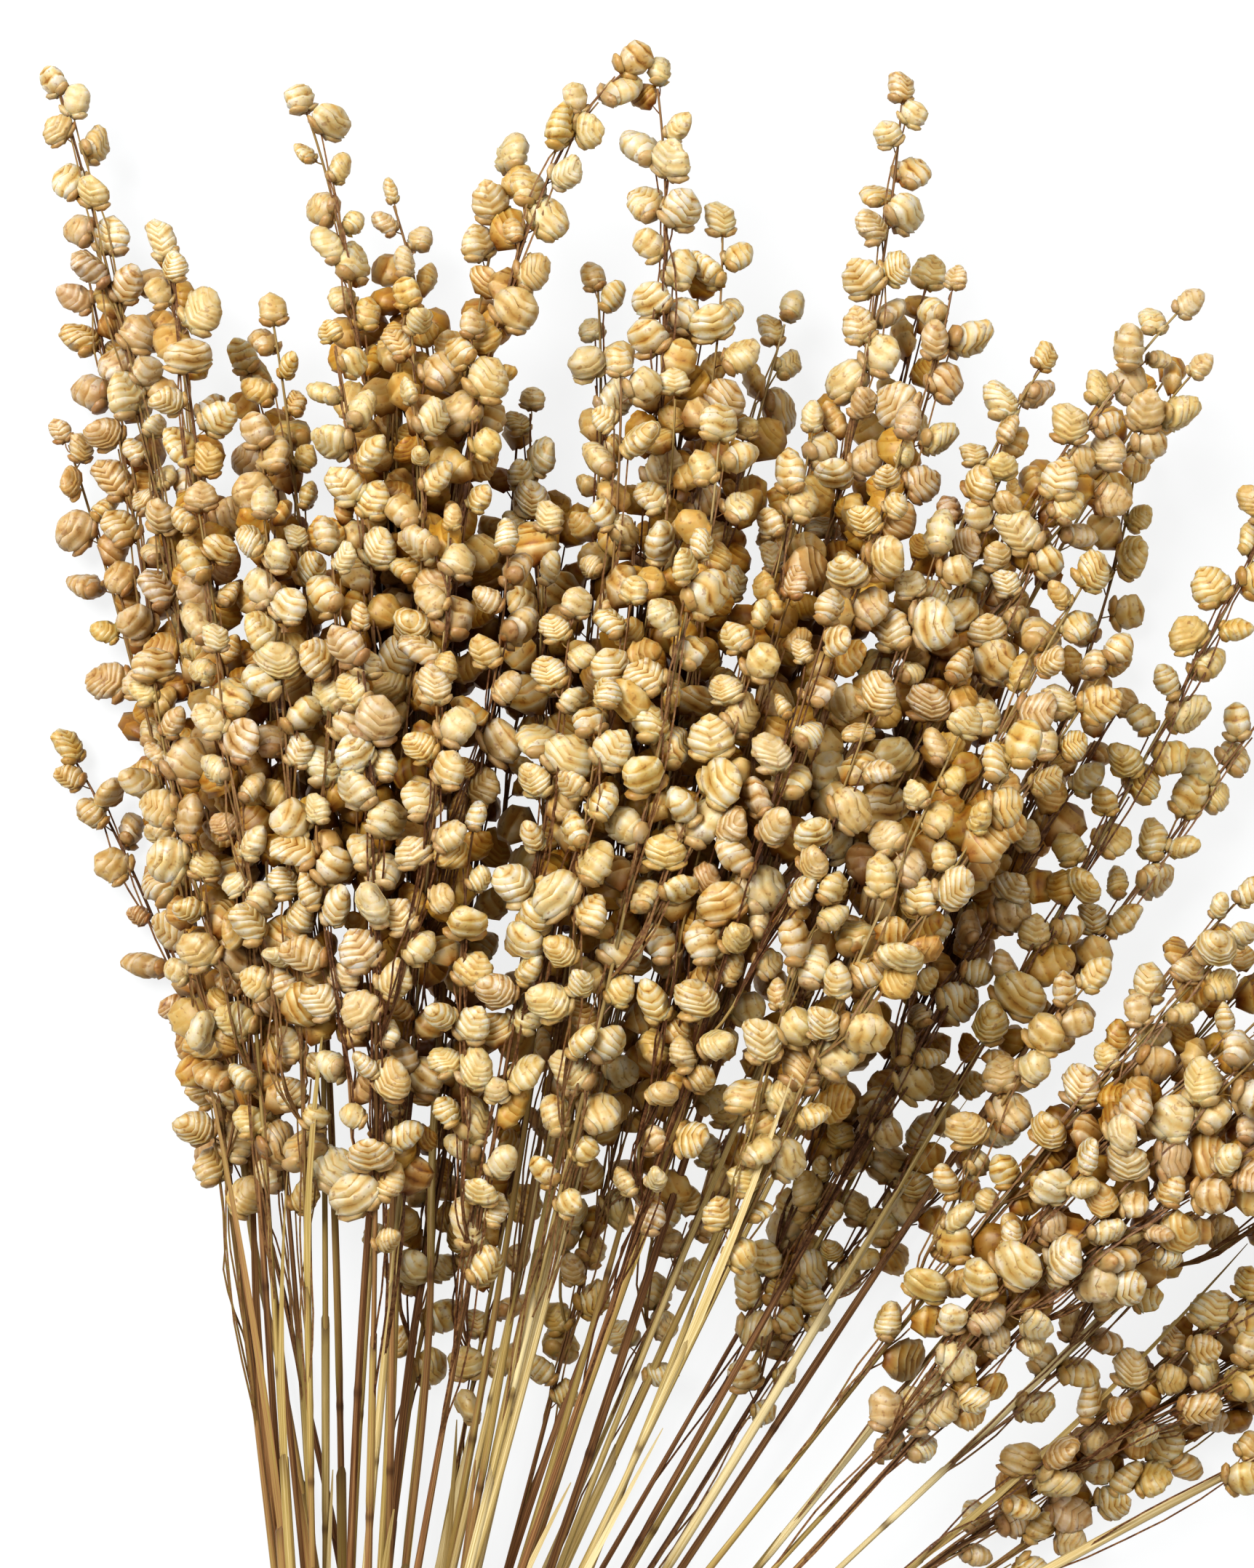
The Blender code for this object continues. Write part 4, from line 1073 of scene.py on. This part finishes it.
def stalklets(grown, strands, batch, stem, draw):
    """The stalks of a stem's spikelets, about half of them short and half of them long."""
    mine = np.nonzero(grown["stem"] == stem)[0]
    parted = draw.random_sample(len(mine)) < LONG_SHARE
    kinds = ((short_stalks, mine[~parted], STALKLET_LOOK), (long_stalks, mine[parted], LONG_LOOK))
    for way, chosen, radius in kinds:
        if len(chosen) == 0:
            continue
        lines = way(grown, strands, chosen, draw)
        lines[:, :, 2] = np.maximum(lines[:, :, 2], STALKLET_FLOOR)
        radii = radius * np.linspace(*STALKLET_TAPER, lines.shape[1])
        points, fours, threes = tubes_along(lines, radii, STALKLET_RING)
        tone = draw.uniform(*STALKLET_TONE)
        batch.add(points, fours, threes, grain=points * STALKLET_GRAIN, tone=tone, dark=STALKLET_DARK)


def along_grain(line, ring, seed):
    """Grain that runs along a tube: the place in its section, and a slow run along its line."""
    run = run_along(line) * GRAIN_RUN + seed
    turn = round_angles(ring)
    section = np.stack([np.cos(turn), np.sin(turn)], axis=1)
    grain = np.concatenate([
        np.broadcast_to(section[None], (len(line), ring, 2)),
        np.broadcast_to(run[:, None, None], (len(line), ring, 1)),
    ], axis=2).reshape(-1, 3)
    return np.concatenate([grain, [[0.0, 0.0, run[0]], [0.0, 0.0, run[-1]]]])


def add_tube(batch, line, radii, ring, tone, dark, seed, pole=UP):
    """A tube of given radii whose grain runs along it."""
    points, fours, threes = closed_grid(sweep(line, radii, ring, pole))
    dark = with_ends(dark, dark[0], dark[-1], ring)
    batch.add(points, fours, threes, grain=along_grain(line, ring, seed), tone=tone, dark=dark)


def sheath_look(line, run, culm, draw, batch, tone):
    """A leaf sheath round a stretch of culm: a tube that widens upwards, its end cut at a slant.

    Its radius is the culm's times a swell that grows from end to end, and the last ring is pushed along the
    culm by a cosine round it.
    """
    swell = np.linspace(SHEATH_SWELL[0], draw.uniform(*SHEATH_SWELL), len(line))
    swell[0] = SHEATH_FOOT
    radii = np.interp(run, *culm) * swell
    pole = unit(np.array([draw.uniform(*SHEATH_ROLL), draw.uniform(*SHEATH_PITCH), 1.0]))
    tangent, _, _ = frames(line, pole)
    grid = sweep(line, radii, CULM_RING, pole, SHEATH_FLAT)
    turn = round_angles(CULM_RING) + draw.uniform(*SHEATH_CUT)
    grid[-1] += SHEATH_SLANT * (SHEATH_RISE + np.cos(turn))[:, None] * tangent[-1]
    points, fours, threes = closed_grid(grid)
    grain = along_grain(line, CULM_RING, draw.uniform(0, GRAIN_SHIFT))
    dark = with_ends(np.interp(np.linspace(0.0, 1.0, len(line)), *SHEATH_DARK), *SHEATH_END_DARK, CULM_RING)
    batch.add(points, fours, threes, grain=grain, tone=tone, dark=dark)


def blade_look(start, ahead, draw, batch, tone):
    """A dry leaf blade: a flat ribbon that bows out sideways by a power, lifts by a half sine and twists.

    Its width falls to a fine tip as the root of one minus a power.
    """
    t = np.linspace(0.0, 1.0, BLADE_STEPS)
    reach = draw.uniform(*BLADE_REACH)
    across = unit(np.array([ahead[1], -ahead[0], TINY])) * draw.choice([-1.0, 1.0])
    bow = BLADE_BOW * draw.uniform(*BLADE_BOW_RANGE) * t[:, None] ** BLADE_BOW_CURVE * across
    line = start + reach * (t[:, None] * ahead + bow)
    line = line + reach * BLADE_LIFT * draw.uniform(*BLADE_LIFT_RANGE) * np.sin(math.pi * t)[:, None] * UP
    line[:, 2] = np.maximum(line[:, 2], BLADE_FLOOR)
    twist = draw.uniform(*BLADE_TURN) + draw.uniform(*BLADE_TWIST) * t
    pole = np.cos(twist)[:, None] * UP + np.sin(twist)[:, None] * across
    radii = draw.uniform(*BLADE_WIDE) * np.sqrt(1.0 - BLADE_TAPER * t**BLADE_TAPER_CURVE)
    radii = radii * np.interp(t, *BLADE_ROOT)
    points, fours, threes = closed_grid(sweep(line, radii, BLADE_RING, pole, BLADE_FLAT))
    grain = along_grain(line, BLADE_RING, draw.uniform(0, GRAIN_SHIFT))
    dark = with_ends(BLADE_DARK * t**3, *BLADE_END_DARK, BLADE_RING)
    batch.add(points, fours, threes, grain=grain, tone=tone, dark=dark)


def stem_look(row, line, foot, bare, draw, batch):
    """A culm from its cut to the tip of its head: joints, sheaths with their blades, and a slow taper."""
    way = np.concatenate([foot[:2], even_points(np.concatenate([foot[2:], line[1:]]), RING_STEP)])
    way = smooth(even_points(way, RING_STEP), CULM_SMOOTHINGS)
    below = np.linalg.norm(np.diff(foot, axis=0), axis=1).sum()
    length = np.linalg.norm(np.diff(way, axis=0), axis=1).sum()
    run = np.linspace(0.0, length, len(way))
    neck = below + bare
    thick, at_neck = draw.uniform(*CULM_LOOK), NECK_LOOK
    if row[3] > STOUT_LEAN:
        thick, at_neck = STOUT_LOOK
    joints = below * FIRST_JOINT + np.cumsum(draw.uniform(*JOINT_SPACING, MOST_JOINTS)) * MM
    joints = joints[joints < neck - JOINT_CLEAR]
    stations = np.unique(np.concatenate([run, (joints[:, None] + JOINT_RINGS).ravel()]))
    culm = ([0.0, below, neck, length], [thick, thick, at_neck, TIP_LOOK])
    radii = np.interp(stations, *culm)
    dark = CULM_DARK + NECK_DARK * np.clip((stations - neck + NECK_DARK_BELOW) / NECK_DARK_OVER, 0.0, 1.0)
    tone = draw.uniform(*CULM_TONE)
    for place in joints:
        near = np.exp(-(((stations - place) / JOINT_REACH) ** 2))
        radii = radii * (1.0 + (JOINT_SWELL - 1.0) * near)
        dark = dark + JOINT_DARK * near
        if draw.random_sample() < SHEATH_SHARE:
            stop = min(place + draw.uniform(*SHEATH_REACH), neck - SHEATH_CLEAR)
            reach = np.linspace(place, max(stop, place + SHEATH_LEAST), SHEATH_STEPS)
            clasp = read_at(reach, run, way)
            pale = np.clip(tone + draw.uniform(*SHEATH_PALER), 0.0, 1.0)
            sheath_look(clasp, reach, culm, draw, batch, pale)
            if draw.random_sample() < BLADE_SHARE:
                blade_look(clasp[-2], unit(clasp[-1] - clasp[-4]), draw, batch, pale)
    line = read_at(stations, run, way)
    add_tube(batch, line, radii, CULM_RING, tone, np.clip(dark, 0.0, 1.0), draw.uniform(0, GRAIN_SHIFT))


def side_look(line, draw, batch, tone):
    """A side strand: a thin tapering tube that starts inside the stem's axis."""
    line = smooth(line, SIDE_SMOOTHINGS)
    radii = np.linspace(SIDE_LOOK, TIP_LOOK, len(line))
    dark = np.full(len(line), SIDE_DARK)
    add_tube(batch, line, radii, SIDE_RING, tone, dark, draw.uniform(0, GRAIN_SHIFT))


def ply_lines(line, pole, pitch, offset):
    """The lines of the plies of a twisted cord: each circles the cord's line once a pitch."""
    _, side, lift = frames(line, pole)
    run = run_along(line)
    for k in range(PLIES):
        turn = 2 * math.pi * (run / pitch + k / PLIES)
        yield line + offset * (np.cos(turn)[:, None] * side + np.sin(turn)[:, None] * lift)


def cord_look(batch, line, pole, radius, draw):
    """Twisted twine along a line, as tubes that circle it and end in a finer ring."""
    line = smooth(even_points(line, PLY_STEP), TWINE_SMOOTHINGS)
    for ply in ply_lines(line, pole, PLY_PITCH * radius, PLY_OFFSET * radius):
        radii = np.full(len(ply), PLY_RADIUS * radius)
        radii[0] = radii[-1] = PLY_END * radius
        tone = draw.uniform(*PLY_TONE)
        dark = np.full(len(ply), PLY_DARK)
        add_tube(batch, ply, radii, PLY_RING, tone, dark, draw.uniform(0, GRAIN_SHIFT), pole)


def tie_look(slots):
    """The twine tie: its turns, its hitch on top and two short ends, flat where they touch the surface."""
    draw = np.random.RandomState(TIE_SEED)
    batch = Batch()
    winding = wind(taut_loop(slots))
    ring, ends = knot_lines(winding)
    hitch = np.concatenate([ring, ring[:2]])
    cord_look(batch, winding, WINDING_POLE, TWINE_RADIUS, draw)
    cord_look(batch, hitch, HITCH_POLE, HITCH_THICKNESS * TWINE_RADIUS, draw)
    for end in ends:
        cord_look(batch, end, END_POLE, END_THICKNESS * TWINE_RADIUS, draw)
    for rows in batch.points:
        rows[:, 2] = np.maximum(rows[:, 2], 0.0)
    return batch


def linear(colour):
    """A colour as the eye names it, turned into light, with a full alpha."""
    c = np.array(colour, float)
    return (*np.where(c <= 0.04045, c / 12.92, ((c + 0.055) / 1.055) ** 2.4), 1.0)


class Finish:
    """A material and short ways to its nodes."""

    def __init__(self, name, roughness, specular):
        self.material = bpy.data.materials.new(name)
        self.material.use_nodes = True
        self.tree = self.material.node_tree
        self.shader = self.tree.nodes["Principled BSDF"]
        self.shader.inputs["Roughness"].default_value = roughness
        self.shader.inputs["Specular IOR Level"].default_value = specular

    def put(self, socket, value):
        """Links an output to a socket, or sets the socket to a plain value."""
        if isinstance(value, bpy.types.NodeSocket):
            self.tree.links.new(value, socket)
        else:
            socket.default_value = value

    def node(self, kind, **inputs):
        """A new node with its inputs put."""
        made = self.tree.nodes.new(kind)
        for key, value in inputs.items():
            self.put(made.inputs[key.replace("_", " ")], value)
        return made

    def value(self, name, output="Fac"):
        """A value kept at the surface's points."""
        made = self.tree.nodes.new("ShaderNodeAttribute")
        made.attribute_name = name
        return made.outputs[output]

    def ramp(self, source, stops):
        """Colours read off along a source from zero to one."""
        made = self.node("ShaderNodeValToRGB", Fac=source)
        elements = made.color_ramp.elements
        while len(elements) < len(stops):
            elements.new(0.5)
        for element, (position, colour) in zip(elements, stops):
            element.position = position
            element.color = linear(colour)
        return made.outputs["Color"]

    def noise(self, vector, scale, detail=2.0, roughness=0.5):
        """Cloudy noise, from zero to one."""
        settings = {"Scale": scale, "Detail": detail, "Roughness": roughness}
        return self.node("ShaderNodeTexNoise", Vector=vector, **settings).outputs["Fac"]

    def math(self, operation, a, b=0.0, clamp=False):
        """A sum, difference or product of two values."""
        made = self.tree.nodes.new("ShaderNodeMath")
        made.operation = operation
        made.use_clamp = clamp
        self.put(made.inputs[0], a)
        self.put(made.inputs[1], b)
        return made.outputs[0]

    def swung(self, name, noise, swing):
        """A value at the points, moved up and down by a noise."""
        moved = self.math("MULTIPLY", self.math("SUBTRACT", noise, 0.5), swing)
        return self.math("ADD", self.value(name), moved, clamp=True)

    def mix(self, share, a, b, kind="MIX"):
        """Two colours mixed, or multiplied."""
        made = self.tree.nodes.new("ShaderNodeMix")
        made.data_type = "RGBA"
        made.blend_type = kind
        self.put(made.inputs["Factor"], share)
        self.put(made.inputs["A"], a)
        self.put(made.inputs["B"], b)
        return made.outputs["Result"]

    def finish(self, colour, height, strength, distance):
        """The material, with its colour and its fine relief."""
        relief = self.node("ShaderNodeBump", Height=height, Strength=strength, Distance=distance)
        self.put(self.shader.inputs["Normal"], relief.outputs["Normal"])
        self.put(self.shader.inputs["Base Color"], colour)
        return self.material


def spikelet_finish():
    """Papery scales: brown in the groove, golden on the back, cream at the lip. Brown at the base is partly
    painted shade, the small brown spots are painted shade, and spikelets under others get painted shade.
    """
    f = Finish("papery_spikelet", roughness=0.44, specular=0.6)
    grain = f.value("grain", "Vector")
    place = f.swung("scale", f.noise(grain, scale=4.0, detail=3.0), swing=0.8)
    colour = f.mix(f.value("tone"), f.ramp(place, OCHRE), f.ramp(place, CREAM))
    colour = f.mix(f.value("brown"), colour, f.ramp(place, UMBER))
    # Brown at the base: partly its own colour, partly painted shade
    colour = f.mix(f.math("MULTIPLY", f.value("hollow"), BASE_BROWN_AND_SHADE_SHARE), colour, linear(BASE_BROWN_AND_SHADE))
    # Small brown spots: painted shade of the pits between the scales
    pit_shade = f.ramp(f.noise(grain, scale=7.5), PIT_SHADE_STOPS)
    colour = f.mix(f.math("MULTIPLY", pit_shade, PIT_SHADE_SHARE), colour, linear(PIT_SHADE_BROWN))
    # Painted shade on the spikelets that lie under others
    colour = f.mix(1.0, colour, f.ramp(f.value("deep"), BURIED_SHADE_STOPS), "MULTIPLY")
    f.shader.inputs["Subsurface Weight"].default_value = PAPER_GLOW
    f.shader.inputs["Subsurface Radius"].default_value = PAPER_GLOW_COLOURS
    f.shader.inputs["Subsurface Scale"].default_value = PAPER_GLOW_DEPTH
    veins = f.noise(grain, scale=14.0, detail=3.0, roughness=0.6)
    return f.finish(colour, veins, strength=0.25, distance=0.10 * MM)


def straw_finish():
    """Dried stalks: olive straw to purplish brown, streaked lengthwise."""
    f = Finish("dried_straw", roughness=0.5, specular=0.4)
    streak = f.noise(f.value("grain", "Vector"), scale=3.4, detail=4.0, roughness=0.7)
    colour = f.ramp(f.swung("tone", streak, swing=1.5), STRAW)
    colour = f.mix(f.value("dark"), colour, linear(STRAW_DARK))
    return f.finish(colour, streak, strength=0.6, distance=0.15 * MM)


def twine_finish():
    """Jute: fibres along each ply, straw brown with paler flecks."""
    f = Finish("jute_twine", roughness=0.85, specular=0.2)
    fibre = f.noise(f.value("grain", "Vector"), scale=3.5, detail=5.0, roughness=0.7)
    return f.finish(f.ramp(fibre, JUTE), fibre, strength=0.8, distance=0.2 * MM)


def place_piece(name, mesh, material, node):
    """A finished piece that moves with the bunch and stands for its solid."""
    piece = bpy.data.objects.new(name, mesh)
    mesh.materials.append(material)
    bpy.context.scene.collection.objects.link(piece)
    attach(piece, "root")
    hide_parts(node)


def dress():
    """All pieces of the bunch."""
    slots, strands = grow_axes()
    grown = settle_spikelets(grow_spikelets(strands), strands)
    grown["size"] = np.minimum(grown["size"], LARGEST)
    feet = np.random.RandomState(FOOT_SEED)
    draw = np.random.RandomState(STALK_SEED)
    straw, papery, jute = straw_finish(), spikelet_finish(), twine_finish()
    spikelets = spikelet_batches(grown)
    for stem, row in enumerate(PANICLES):
        number = f"{stem + 1:02d}"
        batch = Batch()
        _, line, bare = strands[stem]
        stem_look(row, line, foot_points(slots[stem], feet), bare, draw, batch)
        tone = draw.uniform(*SIDE_TONE)
        for owner, side, _ in strands[len(PANICLES):]:
            if owner == stem:
                side_look(side, draw, batch, tone)
        stalklets(grown, strands, batch, stem, draw)
        stalk = batch.mesh(f"stalk_{number}", STALK_CREASE)
        place_piece(f"stalk_{number}", stalk, straw, f"stem_{number}")
        head = spikelets[stem].mesh(f"spikelets_{number}")
        place_piece(f"spikelets_{number}", head, papery, f"stem_{number}")
    place_piece("twine", tie_look(slots).mesh("twine"), jute, "tie")


def set_stage():
    """A pale floor that glows a little, two large soft lights from upper left and right, and the camera."""
    scene = bpy.context.scene
    floor = bpy.data.objects.new("floor", bpy.data.meshes.new("floor"))
    corners = [(x * FLOOR_HALF, y * FLOOR_HALF, 0.0) for x, y in ((-1, -1), (1, -1), (1, 1), (-1, 1))]
    floor.data.from_pydata(corners, [], [(0, 1, 2, 3)])
    scene.collection.objects.link(floor)
    pale = Finish("pale_floor", roughness=0.9, specular=0.1)
    pale.shader.inputs["Base Color"].default_value = linear(FLOOR_GREY)
    pale.shader.inputs["Emission Color"].default_value = linear(FLOOR_GLOW_COLOUR)
    pale.shader.inputs["Emission Strength"].default_value = FLOOR_GLOW
    pale.material.cycles.emission_sampling = "NONE"
    floor.data.materials.append(pale.material)
    floor.visible_diffuse = False
    for name, place, size, power in LIGHTS:
        light = bpy.data.lights.new(name, "AREA")
        light.size = size
        light.energy = power
        holder = bpy.data.objects.new(name, light)
        holder.location = place
        aim = Vector(LIGHTS_AIM) - holder.location
        holder.rotation_euler = aim.to_track_quat("-Z", "Y").to_euler()
        scene.collection.objects.link(holder)
    scene.world = bpy.data.worlds.new("studio")
    scene.world.use_nodes = True
    sky = scene.world.node_tree.nodes["Background"]
    sky.inputs["Color"].default_value = WORLD_COLOUR
    sky.inputs["Strength"].default_value = WORLD_STRENGTH
    camera = bpy.data.objects.new("camera", bpy.data.cameras.new("camera"))
    camera.data.lens = CAMERA_LENS
    camera.data.sensor_width = CAMERA_SENSOR
    camera.location = CAMERA_PLACE
    scene.collection.objects.link(camera)
    scene.camera = camera
    scene.view_settings.view_transform = "Standard"
    scene.view_settings.look = "High Contrast"


dress()
set_stage()
